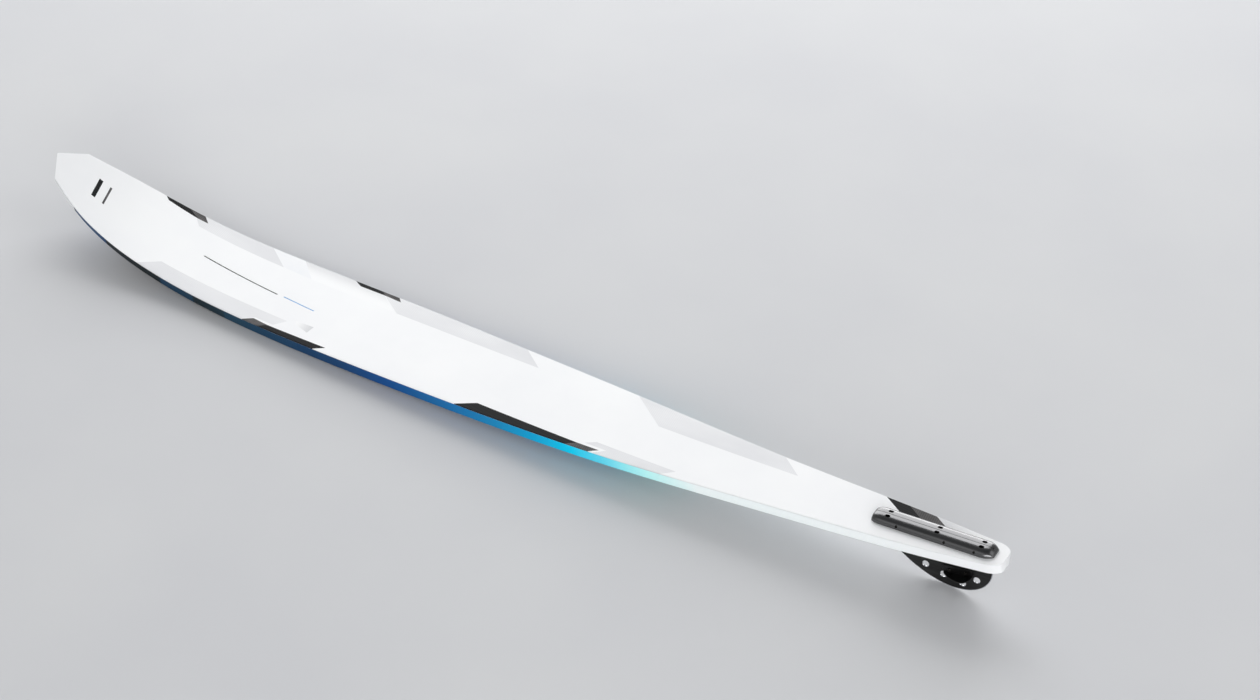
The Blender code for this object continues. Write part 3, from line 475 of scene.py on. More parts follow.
def linked_object(name, mesh, matrix=Matrix(), materials=()):
    """Turns a bmesh into an object at the origin, with its place in its mesh."""
    mesh.transform(matrix)
    data = bpy.data.meshes.new(name)
    mesh.to_mesh(data)
    mesh.free()
    for material in materials:
        data.materials.append(material)
    item = bpy.data.objects.new(name, data)
    bpy.context.scene.collection.objects.link(item)
    return item


def carve(item, cutters, operation="DIFFERENCE"):
    """Applies exact Booleans with each cutter, which is then removed."""
    for cutter in cutters:
        modifier = item.modifiers.new("carve", "BOOLEAN")
        modifier.solver = "EXACT"
        modifier.operation = operation
        modifier.object = cutter
    settle(item)
    weld(item.data)
    for cutter in cutters:
        bpy.data.objects.remove(cutter, do_unlink=True)


def weld(data):
    """Merges the doubled points that an exact Boolean leaves where two faces meet."""
    mesh = bmesh.new()
    mesh.from_mesh(data)
    bmesh.ops.remove_doubles(mesh, verts=mesh.verts, dist=1e-6)
    mesh.to_mesh(data)
    mesh.free()


def settle(item):
    """Turns the evaluated object into a plain mesh without modifiers."""
    bpy.context.view_layer.update()
    graph = bpy.context.evaluated_depsgraph_get()
    data = bpy.data.meshes.new_from_object(item.evaluated_get(graph), preserve_all_data_layers=True,
                                           depsgraph=graph)
    item.modifiers.clear()
    item.data = data


def dress(item, body, nodes, sharp=32.0):
    """Shades a finished piece and lets it ride its body in place of the CAD nodes."""
    item.data.shade_smooth()
    item.data.set_sharp_from_angle(angle=math.radians(sharp))
    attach(item, body)
    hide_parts(*nodes)


def add_node(tree, kind, settings=None, inputs=None):
    """Adds a node with its settings; an input takes a value or another node's socket."""
    node = tree.nodes.new(kind)
    for name, value in (settings or {}).items():
        setattr(node, name, value)
    for name, value in (inputs or {}).items():
        if isinstance(value, bpy.types.NodeSocket):
            tree.links.new(value, node.inputs[name])
        else:
            node.inputs[name].default_value = value
    return node


Finish = namedtuple("Finish", "material tree shader place")


def new_finish(name, settings):
    """Starts a Principled material, with its place in the ski's frame."""
    material = bpy.data.materials.new(name)
    material.use_nodes = True
    tree = material.node_tree
    shader = tree.nodes["Principled BSDF"]
    for socket, value in settings.items():
        shader.inputs[socket].default_value = value
    row_place = add_node(tree, "ShaderNodeTexCoord").outputs["Object"]
    place = add_node(tree, "ShaderNodeMapping", {"vector_type": "TEXTURE"}, {
        "Vector": row_place, "Location": SKI_ORIGIN,
        "Rotation": (0.0, math.radians(SKI_PITCH), 0.0)}).outputs[0]
    return Finish(material, tree, shader, place)


def coated(name, roughness=0.42, coat=0.12, gloss=0.25):
    """Starts a print under clear coat: a soft base gloss with a thin sharper one over it."""
    return new_finish(name, {"Roughness": roughness, "IOR": 1.5, "Specular IOR Level": gloss,
                             "Coat Weight": coat, "Coat Roughness": 0.10, "Coat IOR": 1.5})


def fill_ramp(ramp, stops):
    """Sets a colour ramp from (position, hex code) stops."""
    while len(ramp.elements) > 1:
        ramp.elements.remove(ramp.elements[-1])
    ramp.elements[0].position, code = stops[0]
    ramp.elements[0].color = hex_to_linear(code)
    for position, code in stops[1:]:
        ramp.elements.new(position).color = hex_to_linear(code)


def clouds(made, millimetres, detail, roughness, stretch=EVEN):
    """Noise of the given size, drawn out along an axis where stretch is small."""
    spread = add_node(made.tree, "ShaderNodeVectorMath", {"operation": "MULTIPLY"}, {
        0: made.place, 1: stretch}).outputs[0]
    return add_node(made.tree, "ShaderNodeTexNoise", inputs={
        "Vector": spread, "Scale": 1000 / millimetres, "Detail": detail,
        "Roughness": roughness}).outputs[0]


def vary(made, first, second, millimetres, stretch=EVEN, levels=(0.35, 0.65)):
    """A colour that drifts between two close tones over patches of the given size."""
    share = add_node(made.tree, "ShaderNodeMapRange", inputs={
        "Value": clouds(made, millimetres, 4.0, 0.5, stretch), "From Min": levels[0],
        "From Max": levels[1]}).outputs[0]
    return add_node(made.tree, "ShaderNodeMix", {"data_type": "RGBA"}, {
        0: share, 6: first, 7: second}).outputs[2]


def hairlined(made, ground, ink, pitch, turn, share):
    """Lays parallel hairlines of an ink over a ground, at a pitch and a turn in degrees."""
    turned = add_node(made.tree, "ShaderNodeMapping", inputs={
        "Vector": made.place, "Rotation": (0.0, 0.0, math.radians(turn))}).outputs[0]
    # a Wave texture's bands are 2 pi / 20 apart at scale 1
    wave = add_node(made.tree, "ShaderNodeTexWave", {"wave_type": "BANDS", "bands_direction": "X"}, {
        "Vector": turned, "Scale": math.pi / (10 * pitch)}).outputs["Fac"]
    line = add_node(made.tree, "ShaderNodeMapRange", {"interpolation_type": "SMOOTHSTEP"}, {
        "Value": wave, "From Min": 0.25, "From Max": 0.75, "To Max": share}).outputs[0]
    return add_node(made.tree, "ShaderNodeMix", {"data_type": "RGBA"}, {
        0: line, 6: ground, 7: ink}).outputs[2]


def finished(made, base, grain=None, normals=("Normal",)):
    """Links the base colour and a fine grain (size in mm, depth, stretch), and gives the material."""
    made.tree.links.new(base, made.shader.inputs["Base Color"])
    if grain:
        millimetres, depth, *stretch = grain
        bump = add_node(made.tree, "ShaderNodeBump", inputs={
            "Height": clouds(made, millimetres, 3.0, 0.6, *stretch), "Strength": depth,
            "Distance": 0.0001}).outputs[0]
        for normal in normals:
            made.tree.links.new(bump, made.shader.inputs[normal])
    return made.material


def top_sheet_finishes(colours):
    """Polyester top sheet, sublimation printed and clear coated, one finish for each field; one of them
    is painted shade along the far edge.
    """
    # White field: a slight wash of tone and the coat's orange peel keep it from looking flat
    made = coated("printed_top_sheet_white")
    tone = vary(made, colours.white, colours.white_shade, 140.0)
    finishes = [finished(made, tone, ORANGE_PEEL, ("Normal", "Coat Normal"))]

    # Silver fields: hairlines across the ski, really 0.5 mm apart and drawn 3 mm apart to show
    made = coated("printed_top_sheet_silver")
    tone = vary(made, colours.silver, colours.silver_shade, 60.0, (0.4, 1.0, 1.0))
    tone = hairlined(made, tone, colours.silver_shade, 0.003, -8.0, 0.45)
    finishes.append(finished(made, tone, ORANGE_PEEL))

    # Ice field: the palest print, next to white
    made = coated("printed_top_sheet_ice")
    tone = vary(made, colours.ice, colours.white_shade, 40.0)
    finishes.append(finished(made, tone, ORANGE_PEEL))

    # Charcoal fields: near black with a barely lighter diagonal hairline
    made = coated("printed_top_sheet_charcoal", *DARK_INK)
    tone = hairlined(made, colours.charcoal, colours.charcoal_line, 0.0032, 32.0, 1.0)
    finishes.append(finished(made, tone, ORANGE_PEEL))

    # Smoke fields: grey with the same hairline, clouded from end to end
    made = coated("printed_top_sheet_smoke", *DARK_INK)
    tone = vary(made, colours.smoke, colours.smoke_shade, 30.0)
    tone = hairlined(made, tone, colours.charcoal_line, 0.0032, -8.0, 0.3)
    finishes.append(finished(made, tone, ORANGE_PEEL))

    # Pinstripe: mid blue ink
    made = coated("printed_top_sheet_pinstripe")
    finishes.append(finished(made, vary(made, colours.pinstripe, colours.pinstripe_shade, 12.0)))

    # Fading fields: a grey that washes out to white, printed where it runs from an end, painted shade
    # where it runs from the far edge
    for name, axis, clear, full in FADES:
        made = coated(name)
        level = add_node(made.tree, "ShaderNodeSeparateXYZ", inputs={0: made.place}).outputs[axis]
        share = add_node(made.tree, "ShaderNodeMapRange", {"interpolation_type": "SMOOTHSTEP"}, {
            "Value": level, "From Min": clear, "From Max": full}).outputs[0]
        tone = add_node(made.tree, "ShaderNodeMix", {"data_type": "RGBA"}, {
            0: share, 6: colours.white, 7: colours.airbrush_and_painted_shade}).outputs[2]
        finishes.append(finished(made, tone, ORANGE_PEEL))
    return finishes


# Colour of the base along the ski, as shares of the length from the tail
BASE_TAIL = (
    (0.0, "#F4F5F6"), (0.270, "#F6FEFE"), (0.315, "#C6FFFE"), (0.339, "#9CF6FD"), (0.363, "#66E2FB"),
    (0.388, "#00D6FC"), (0.412, "#12BCEA"), (0.436, "#0EA6DA"), (0.465, "#1B90C6"), (0.509, "#1B73B2"),
    (0.53, "#1A6BA8"), (0.581, "#124E90"), (0.63, "#1A4472"), (0.68, "#1A4064"),
)
BASE_BAND = BASE_TAIL + ((0.727, "#183C56"), (0.75, "#1E3E50"), (0.83, "#123248"), (0.93, "#153F6C"))
BASE_PLAIN = BASE_TAIL + ((0.74, "#1A3848"), (0.80, "#18272E"), (0.866, "#121C20"), (1.0, "#10181B"))


def base_sheet_finishes(colours):
    """Polyester base sheet, sublimation printed, running up the rails, one finish a field."""
    finishes = []
    for name, stops in (("printed_base_sheet_fade", BASE_PLAIN), ("printed_base_sheet_band", BASE_BAND)):
        # The ink runs from slate at the tip through blue and cyan to white at the tail
        made = coated(name, *BASE_COAT)
        tree = made.tree
        along = add_node(tree, "ShaderNodeSeparateXYZ", inputs={0: made.place}).outputs[0]
        cloud = add_node(tree, "ShaderNodeTexNoise", inputs={
            "Vector": made.place, "Scale": 9.0}).outputs[0]
        sway = add_node(tree, "ShaderNodeMath", {"operation": "MULTIPLY_ADD"}, {
            0: cloud, 1: 0.020, 2: -0.010}).outputs[0]
        share = add_node(tree, "ShaderNodeMath", {"operation": "MULTIPLY_ADD"}, {
            0: along, 1: 1 / LENGTH, 2: sway}).outputs[0]
        ramp = add_node(tree, "ShaderNodeValToRGB", inputs={0: share})
        fill_ramp(ramp.color_ramp, stops)
        tone = ramp.outputs[0]
        if stops is BASE_BAND:
            # pinstripes 0.6 mm apart on the real bands, drawn 4 mm apart to show
            tone = hairlined(made, tone, colours.band_line, 0.004, 20.0, 0.22)
        finishes.append(finished(made, tone, (2.6, 0.12)))

    # Tip cap: the white of the top sheet comes down over the rails at the tip
    made = coated("moulded_tip_cap_white")
    tone = vary(made, colours.white, colours.white_shade, 60.0)
    return [*finishes, finished(made, tone, ORANGE_PEEL)]


def moulded_foam(colours):
    """Polyurethane foam with closed cells about 0.4 mm across, drawn at 1.5 mm, and darker pits."""
    made = new_finish("moulded_polyurethane_foam", {"Roughness": 0.85})
    cells = add_node(made.tree, "ShaderNodeTexVoronoi", inputs={
        "Vector": made.place, "Scale": 650.0}).outputs[0]
    tone = add_node(made.tree, "ShaderNodeMix", {"data_type": "RGBA"}, {
        0: cells, 6: colours.foam, 7: colours.foam_pit}).outputs[2]
    bump = add_node(made.tree, "ShaderNodeBump", inputs={
        "Height": cells, "Strength": 0.4, "Distance": 0.0004}).outputs[0]
    made.tree.links.new(bump, made.shader.inputs["Normal"])
    return finished(made, tone)


def pad_print(colours):
    """Pale pad-printed ink, matt against the metal."""
    made = new_finish("pad_printed_pale_ink", {"Roughness": 0.55})
    return finished(made, vary(made, colours.ink, colours.white_shade, 8.0), (0.6, 0.10))


# Metals: roughness, two tones, how wide they drift in mm and how that is drawn out, then the grain's
# size in mm, its depth and its stretch, and where given the levels between which the tones turn
METALS = {
    # Extruded, polished and black anodised: soft draw lines along it in a smooth dark gloss
    "anodised_extruded_aluminium": (
        0.24, "block", "block_shade", 5.0, (0.06, 1.0, 1.0), (0.9, 0.004, (0.03, 1.0, 1.0))),
    # Rolled and anodised: a fine rolling grain along the fin gives a satin dark grey
    "anodised_rolled_aluminium_sheet": (
        0.34, "fin", "fin_shade", 4.0, (0.05, 1.0, 1.0), (0.7, 0.18, (0.04, 1.0, 1.0))),
    # Bent and anodised: its grain runs across the wing, a little glossier than the fin
    "anodised_bent_aluminium_sheet": (
        0.30, "wing", "fin_shade", 4.0, (1.0, 0.05, 1.0), (0.7, 0.18, (1.0, 0.05, 1.0))),
    # Milled after anodising: a bright line of bare metal with cutter marks
    "milled_aluminium_edge": (0.22, "bare_metal", "bare_metal_shade", 3.0, EVEN, (0.6, 0.15)),
    # Black oxide on steel: a deep brown black that wears to steel in spots
    "black_oxide_steel": (0.30, "screw", "screw_worn", 0.9, EVEN, (0.5, 0.2), (0.52, 0.78)),
    # Turned brass: lathe marks run round the sleeves, 0.3 mm apart and drawn at 0.8 mm
    "turned_brass": (0.26, "brass", "brass_shade", 6.0, EVEN, (0.8, 0.25, (0.1, 0.1, 1.0))),
}


def metal(colours, name):
    """The metal of that name, which is made once."""
    if name not in bpy.data.materials:
        roughness, first, second, millimetres, stretch, grain, *levels = METALS[name]
        made = new_finish(name, {"Metallic": 1.0, "Roughness": roughness})
        tones = getattr(colours, first), getattr(colours, second)
        finished(made, vary(made, *tones, millimetres, stretch, *levels), grain)
    return bpy.data.materials[name]


def colour(name, description, code):
    return FloatVectorProperty(name=name, description=description, subtype="COLOR", size=4,
                               min=0.0, max=1.0, default=hex_to_linear(code))


class WaterSkiColours(PropertyGroup):
    """Inks and metals of the ski."""
    white: colour("White", "Ground of the top sheet", "#F1F2F3")
    white_shade: colour("White Shade", "Darker tone in the white ground", "#EDEEF0")
    silver: colour("Silver", "Silver fields of the top sheet", "#E4E5E7")
    silver_shade: colour("Silver Shade", "Hairlines in the silver fields", "#D9DADD")
    # Full tone of the printed fades, and also of the painted shade along the far edge
    airbrush_and_painted_shade: colour("Airbrush And Painted Shade", "Full tone of the fading fields", "#CFD0D3")
    ice: colour("Ice", "Palest field of the top sheet", "#E9EBEE")
    charcoal: colour("Charcoal", "Dark fields of the top sheet", "#171819")
    charcoal_line: colour("Charcoal Line", "Hairlines in the dark fields", "#252628")
    smoke: colour("Smoke", "Grey ends of the dark fields", "#6A6868")
    smoke_shade: colour("Smoke Shade", "Darker tone in the grey ends", "#504F50")
    pinstripe: colour("Pinstripe", "Blue pinstripe on the top sheet", "#5E9BD2")
    pinstripe_shade: colour("Pinstripe Shade", "Darker tone in the pinstripe", "#4F8CC6")
    band_line: colour("Band Line", "Pinstripes in the base sheet's bands", "#2C5C82")
    foam: colour("Foam", "Foam core", "#D9C79A")
    foam_pit: colour("Foam Pit", "Pits between the foam's cells", "#B49F6E")
    brass: colour("Brass", "Threaded inserts", "#D9B36A")
    brass_shade: colour("Brass Shade", "Tarnish on the inserts", "#B8904C")
    block: colour("Block", "Anodised fin block", "#646465")
    block_shade: colour("Block Shade", "Draw lines on the fin block", "#616162")
    fin: colour("Fin", "Anodised fin blade", "#464645")
    fin_shade: colour("Fin Shade", "Grain of the fin blade", "#3D3D3D")
    wing: colour("Wing", "Anodised wing", "#444444")
    bare_metal: colour("Bare Metal", "Milled edges", "#C9CBCF")
    bare_metal_shade: colour("Bare Metal Shade", "Cutter marks on the edges", "#A9ABB0")
    ink: colour("Fin Ink", "Bars printed on the fin", "#DADCDD")
    screw: colour("Screw", "Black oxide screws", "#343331")
    screw_worn: colour("Worn Screw", "Steel that shows through the oxide", "#6B6964")
    floor: colour("Floor", "Studio floor", "#D4D5D7")
    floor_shade: colour("Floor Shade", "Darker tone in the studio floor", "#D0D1D4")


def length(name, description, default, low, high):
    return FloatProperty(name=name, description=description, default=default, min=low, max=high,
                         unit="LENGTH", precision=4)


def power(name, description, default):
    return FloatProperty(name=name, description=description, default=default, min=0.0, unit="POWER")


class WaterSkiSizes(PropertyGroup):
    """Fineness of the moulded shape and sizes of the hardware."""
    section_spacing: length(
        "Section Spacing", "Distance between the ski's cross sections", 0.008, 0.003, 0.03)
    deck_edge: length("Deck Edge", "Radius of the top sheet's edge", 0.0009, 0.0003, 0.0011)
    block_head: length(
        "Block Screw Head", "Head diameter of the screws that hold the block", 0.0046, 0.004, 0.0049)
    block_head_height: length(
        "Block Screw Head Height", "Height of their heads", 0.0022, 0.001, 0.004)
    block_shank: length(
        "Block Screw Length", "How far the screws go down below their heads", 0.0135, 0.008, 0.014)
    clamp_diameter: length(
        "Grub Screw Diameter", "Diameter of the screws that clamp the fin", 0.0030, 0.002, 0.0034)
    wing_head: length(
        "Wing Screw Head", "Head diameter of the wing's screws", 0.0050, 0.004, 0.0055)
    turn_seed: IntProperty(
        name="Turn Seed", description="Seed for how far each screw is turned", default=4, min=0)


class WaterSkiStudio(PropertyGroup):
    """Light of the plain studio."""
    key_strength: power("Key Strength", "Power of the large softbox", 258.0)
    edge_strength: power("Edge Strength", "Power of the low softbox behind the ski", 80.0)
    side_strength: power("Side Strength", "Power of the softbox beside the camera", 188.0)
    fill_strength: power("Fill Strength", "Power of the softbox on the tip's side", 22.0)
    back_strength: power("Back Strength", "Power of the softbox behind the tail", 44.0)
    sky_strength: FloatProperty(
        name="Sky Strength", description="Strength of the pale surroundings", default=0.62, min=0.0)


def rectangle(half_length, half_side):
    return [(-half_length, -half_side), (half_length, -half_side),
            (half_length, half_side), (-half_length, half_side)]


def hexagon(flats):
    """A hexagon over its flats, drawn with as many points as a screw's circle."""
    sixth = math.pi / 3
    points = []
    for x, y in circle(0.5 * flats):
        from_flat = (math.atan2(y, x) + 0.5 * sixth) % sixth - 0.5 * sixth
        points.append((x / math.cos(from_flat), y / math.cos(from_flat)))
    return points


def straight_cutter(outlines, low=-REACH, high=REACH, upright=True, matrix=BLOCK_FRAME):
    """Straight solids over outlines, as one object to carve with."""
    mesh = bmesh.new()
    for outline in outlines:
        stack(((outline, low), (outline, high)), upright, mesh)
    return linked_object("cutter", mesh, matrix)


def fin_slot():
    outline = rectangle(HALF_FIN + SCREW_TRAVEL + SLOT_END_ROOM, FIN_HALF + SLOT_SIDE_ROOM)
    return straight_cutter([outline])


SCREW_SPOTS = [(u, side * SCREW_SIDE) for u in SCREW_ROWS for side in (1, -1)]


def build_top_sheet(sizes, colours):
    mesh = loft([deck_ring(x, sizes.deck_edge) for x in section_places(sizes.section_spacing)])
    for index, outline in DECK_FIELDS:
        inlay(mesh, outline, index, lambda normal: normal.z > -0.5)
    deck = linked_object("top_sheet", mesh, SKI_FRAME, top_sheet_finishes(colours))
    holes = straight_cutter([circle(SCREW_ROOM, centre=spot) for spot in SCREW_SPOTS])
    carve(deck, [fin_slot(), holes])
    dress(deck, "ski", ["deck_skin"])


def build_base_sheet(sizes, colours):
    spacing = sizes.section_spacing
    mesh = loft([hull_ring(x, 0.0, SKIN + GAP) for x in section_places(spacing)])
    ahead, past = BASE_BAND_SLANT, 0.1
    for front, rear in BASE_BANDS:
        outline = ((front, past), (rear, past), (rear + ahead, -past), (front + ahead, -past))
        inlay(mesh, outline, 1, lambda normal: normal.z < 0.5)
    cap = ((TIP_CAP_FROM, past), (TIP_CAP_FROM, -past), (LENGTH + past, -past), (LENGTH + past, past))
    inlay(mesh, cap, 2, lambda normal: -0.8 < normal.z < 0.5)
    base = linked_object("base_sheet", mesh, SKI_FRAME, base_sheet_finishes(colours))
    hollow = loft([hull_ring(x, SKIN, -3 * SKIN) for x in section_places(spacing, SKIN)])
    carve(base, [linked_object("hollow", hollow, SKI_FRAME), fin_slot()])
    dress(base, "ski", ["base_skin"])


def build_inside(colours):
    """The foam core, trimmed to the rounded nose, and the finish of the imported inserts."""
    for name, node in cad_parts.items():
        if "insert" in name:
            for slot in node.material_slots:
                slot.material = metal(colours, "turned_brass")
    mesh = bmesh.new()
    mesh.from_mesh(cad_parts["foam_core"].data)
    bmesh.ops.remove_doubles(mesh, verts=mesh.verts, dist=1e-6)
    core = linked_object("core", mesh)
    core.data.materials.clear()
    core.data.materials.append(moulded_foam(colours))
    slant = (NOSE_POINT - NOSE_CORNER) / OUTLINE[-1][1]
    point = NOSE_POINT - (SKIN + GAP) * math.hypot(1.0, slant)
    end = LENGTH - HOLLOW_SHORT * SKIN - GAP
    half, wide = (point - end) / slant, 0.06
    outline = [(point - slant * wide, wide), (end, half), (end, -half), (point - slant * wide, -wide),
               (LENGTH + wide, -wide), (LENGTH + wide, wide)]
    carve(core, [straight_cutter([outline], 0.0, 0.2, matrix=SKI_FRAME)])
    dress(core, "ski", ["foam_core"])


def block_sections():
    """Places along the block with the half width and the height there: stern, body, bull nose."""
    rear, front = BLOCK_BODY
    sections = list(BLOCK_STERN)
    sections += [(u, BLOCK_HALF_WIDTH, BLOCK_HEIGHT) for u in np.linspace(rear, front, 10)]
    narrowing = BLOCK_HALF_WIDTH - BLOCK_NOSE_HALF_WIDTH
    fall = BLOCK_HEIGHT - BLOCK_NOSE_HEIGHT
    for along, across in arc(1.0, 0.5 * math.pi, 0.0, 10)[1:]:
        sections.append((front + (HALF_BLOCK - front) * along, BLOCK_NOSE_HALF_WIDTH + narrowing * across,
                         BLOCK_NOSE_HEIGHT + fall * across ** 0.7))
    return sections


def build_rail(name, side, finish, cutters, nodes):
    edge = 0.0003
    rings = []
    for u, wide, height in block_sections():
        foot = deck_in_block(u) + GAP
        flat = BLOCK_TOP_FLAT * wide / BLOCK_HALF_WIDTH
        points = [(0.5 * SEAM, 0.0), (wide - edge, 0.0), (wide, edge)]
        points += [(flat + (wide - flat) * a, BLOCK_TOE + (height - BLOCK_TOE) * b)
                   for a, b in arc(1.0, 0.0, 0.5 * math.pi, 14)]
        points += [(0.5 * SEAM + edge, height), (0.5 * SEAM, height - edge)]
        rings.append([(u, side * y, foot + h) for y, h in points])
    rail = linked_object(name, loft(rings), BLOCK_FRAME, [finish])
    carve(rail, cutters)
    dress(rail, "fin_block", nodes, 28.0)


def build_block(colours):
    """The two rails of the fin block, pocketed for the fin's tab and the screws."""
    finish = metal(colours, "anodised_extruded_aluminium")
    for name, side, node in (("left_block_rail", 1, "fin_clamp_left"),
                             ("right_block_rail", -1, "fin_clamp_right")):
        cutters = [straight_cutter([rectangle(HALF_FIN + GAP, FIN_TAB_SIDE)], high=FIN_COVER + GAP)]
        for radius, low in ((SCREW_SEAT_RADIUS, SCREW_SEAT), (SCREW_ROOM, -REACH)):
            slots = [stadium(radius, SCREW_TRAVEL, spot) for spot in SCREW_SPOTS]
            cutters.append(straight_cutter(slots, low))
        if side > 0:
            holes = [circle(CLAMP_HOLE_RADIUS, centre=(u, CLAMP_HEIGHT + deck_in_block(u)))
                     for u in CLAMP_ROWS]
            cutters.append(straight_cutter(holes, 0.0, upright=False))
        build_rail(name, side, finish, cutters, [node])


def thread(first, second, low, high, pitch):
    """Rings between two levels that alternate between two radii, as crests and roots do."""
    rings = []
    while low < high:
        rings += [(circle(first), low), (circle(second), low + 0.5 * pitch)]
        low += pitch
    return rings


def socket_screw(head_diameter, head_height, shank_length, flats):
    """A cap screw that stands on its head's underside: rounded head, hexagon socket, thread."""
    head, shank, pitch = 0.5 * head_diameter, 0.5 * SCREW_SHANK, 0.0007
    edge, chamfer = 0.14 * head, 0.0001
    rings = [(circle(shank - 0.0003), -shank_length)]
    rings += thread(shank, shank - 0.00025, -shank_length + 0.0003, -1.6 * pitch, pitch)
    rings += [(circle(shank - chamfer), -1.2 * pitch), (circle(shank - chamfer), 0.0),
              (circle(head - chamfer), 0.0), (circle(head), chamfer)]
    rings += [(circle(head - edge * (1 - a)), head_height - edge * (1 - b))
              for a, b in arc(1.0, 0.0, 0.5 * math.pi, 4)]
    rings += [(circle(0.56 * flats + 0.0003), head_height), (hexagon(flats), head_height - 0.0002),
              (hexagon(flats), 0.42 * head_height), (circle(0.1 * flats), 0.30 * head_height)]
    return stack(rings)


def grub_screw(diameter, length, flats):
    """A headless screw from its point, at level 0, to its socket."""
    radius, root, pitch = 0.5 * diameter, 0.5 * diameter - 0.0002, 0.0006
    point = 0.45 * radius
    rings = [(circle(0.55 * radius), 0.0), (circle(radius), point)]
    rings += thread(root, radius, point + 0.5 * pitch, length - 1.6 * pitch, pitch)
    rings += [(circle(radius), length - 0.0002), (circle(root), length),
              (circle(0.56 * flats + 0.0001), length), (hexagon(flats), length - 0.0001),
              (hexagon(flats), length - radius), (circle(0.1 * flats), length - 1.2 * radius)]
    return stack(rings)


def hex_nut(flats, height, bore):
    """A hexagon nut on level 0, its corners turned down on both faces."""
    turned_down, full = circle(0.5 * flats * 0.99), hexagon(flats)
    hole, rim = circle(bore), circle(bore + 0.0002)
    return stack([(turned_down, 0.0), (full, 0.00025), (full, height - 0.00025), (turned_down, height),
                  (rim, height), (hole, height - 0.0002), (hole, 0.0002), (rim, 0.0)], capped=False)


def screw_row_tree():
    """Geometry nodes that stand a fastener on each point, along a direction and turned at random."""
    tree = bpy.data.node_groups.new("Screw Row", "GeometryNodeTree")
    for name, kind in (("Points", "NodeSocketGeometry"), ("Fastener", "NodeSocketObject"),
                       ("Direction", "NodeSocketVector"), ("Turn Seed", "NodeSocketInt"),
                       ("Finish", "NodeSocketMaterial")):
        tree.interface.new_socket(name, in_out="INPUT", socket_type=kind)
    tree.interface.new_socket("Fasteners", in_out="OUTPUT", socket_type="NodeSocketGeometry")
    given = add_node(tree, "NodeGroupInput").outputs
    shape = add_node(tree, "GeometryNodeObjectInfo", {"transform_space": "ORIGINAL"},
                     {"Object": given["Fastener"]}).outputs["Geometry"]
    turn = add_node(tree, "FunctionNodeRandomValue", {"data_type": "FLOAT"}, {
        2: 0.0, 3: math.pi / 3, "Seed": given["Turn Seed"]}).outputs[1]
    spin = add_node(tree, "FunctionNodeAxisAngleToRotation", inputs={
        "Axis": (0.0, 0.0, 1.0), "Angle": turn}).outputs[0]
    aim = add_node(tree, "FunctionNodeAlignRotationToVector", {"axis": "Z"}, {
        "Vector": given["Direction"]}).outputs[0]
    both = add_node(tree, "FunctionNodeRotateRotation", {"rotation_space": "LOCAL"}, {
        "Rotation": aim, "Rotate By": spin}).outputs[0]
    placed = add_node(tree, "GeometryNodeInstanceOnPoints", inputs={
        "Points": given["Points"], "Instance": shape, "Rotation": both}).outputs[0]
    real = add_node(tree, "GeometryNodeRealizeInstances", inputs={"Geometry": placed}).outputs[0]
    done = add_node(tree, "GeometryNodeSetMaterial", inputs={
        "Geometry": real, "Material": given["Finish"]}).outputs[0]
    add_node(tree, "NodeGroupOutput", inputs={"Fasteners": done})
    return tree


def place_fasteners(tree, name, fastener, points, values, matrix, body, nodes):
    """Runs the tree on a cloud of points, and places the plain mesh that it gives."""
    cloud = bmesh.new()
    for point in points:
        cloud.verts.new(point)
    item = linked_object(name, cloud)
    drawn = linked_object("drawn_fastener", fastener)
    modifier = item.modifiers.new("screw_row", "NODES")
    modifier.node_group = tree
    identifiers = {s.name: s.identifier for s in tree.interface.items_tree if s.in_out == "INPUT"}
    for label, value in {"Fastener": drawn, **values}.items():
        modifier[identifiers[label]] = value
    settle(item)
    bpy.data.objects.remove(drawn, do_unlink=True)
    item.data.transform(matrix)
    dress(item, body, nodes, 30.0)


def build_screws(sizes, colours):
    """The block's screws, its grub screws, and the wing's screws and nuts."""
    tree, finish = screw_row_tree(), metal(colours, "black_oxide_steel")
    up, left, right = (0.0, 0.0, 1.0), (0.0, 1.0, 0.0), (0.0, -1.0, 0.0)
    head, grub, wing_head = sizes.block_head, sizes.clamp_diameter, sizes.wing_head
    rows = (
        ("block_screws", socket_screw(head, sizes.block_head_height, sizes.block_shank, 0.5 * head),
         [(u, y, SCREW_SEAT + GAP) for u, y in SCREW_SPOTS], up,
         BLOCK_FRAME, "ski", [f"block_screw_{i}" for i in range(1, 7)]),
        ("grub_screws", grub_screw(grub, CLAMP_END - FIN_TAB_SIDE, 0.5 * grub),
         [(u, FIN_TAB_SIDE, CLAMP_HEIGHT + deck_in_block(u)) for u in CLAMP_ROWS], left,
         BLOCK_FRAME, "fin_block", [f"clamp_screw_{i}" for i in range(1, 4)]),
        ("wing_screws",
         socket_screw(wing_head, WING_SCREW_HEAD_HEIGHT, WING_SCREW_REACH, 0.45 * wing_head),
         [(a, WING_SEAT, b) for a, b in WING_SCREWS], left,
         WING_FRAME, "wing", ["wing_pivot_screw", "wing_slot_screw"]),
        ("wing_nuts", hex_nut(NUT_FLATS, NUT_HEIGHT, SCREW_ROOM),
         [(a, -WING_SEAT, b) for a, b in WING_SCREWS], right,
         WING_FRAME, "wing", ["wing_pivot_nut", "wing_slot_nut"]),
    )
    for number, (name, fastener, points, direction, matrix, body, nodes) in enumerate(rows):
        values = {"Direction": direction, "Turn Seed": sizes.turn_seed + number, "Finish": finish}
        place_fasteners(tree, name, fastener, points, values, matrix, body, nodes)


def hole_cutter(outline_at, chamfer):
    """A cutter across the fin that widens past both faces; outline_at gives it for a margin."""
    past = 0.0010
    rings = [(chamfer + past, -FIN_HALF - past), (0.0, -FIN_HALF + chamfer), (0.0, FIN_HALF - chamfer),
             (chamfer + past, FIN_HALF + past)]
    return linked_object("cutter", stack([(outline_at(margin), y) for margin, y in rings], False),
                         BLOCK_FRAME)


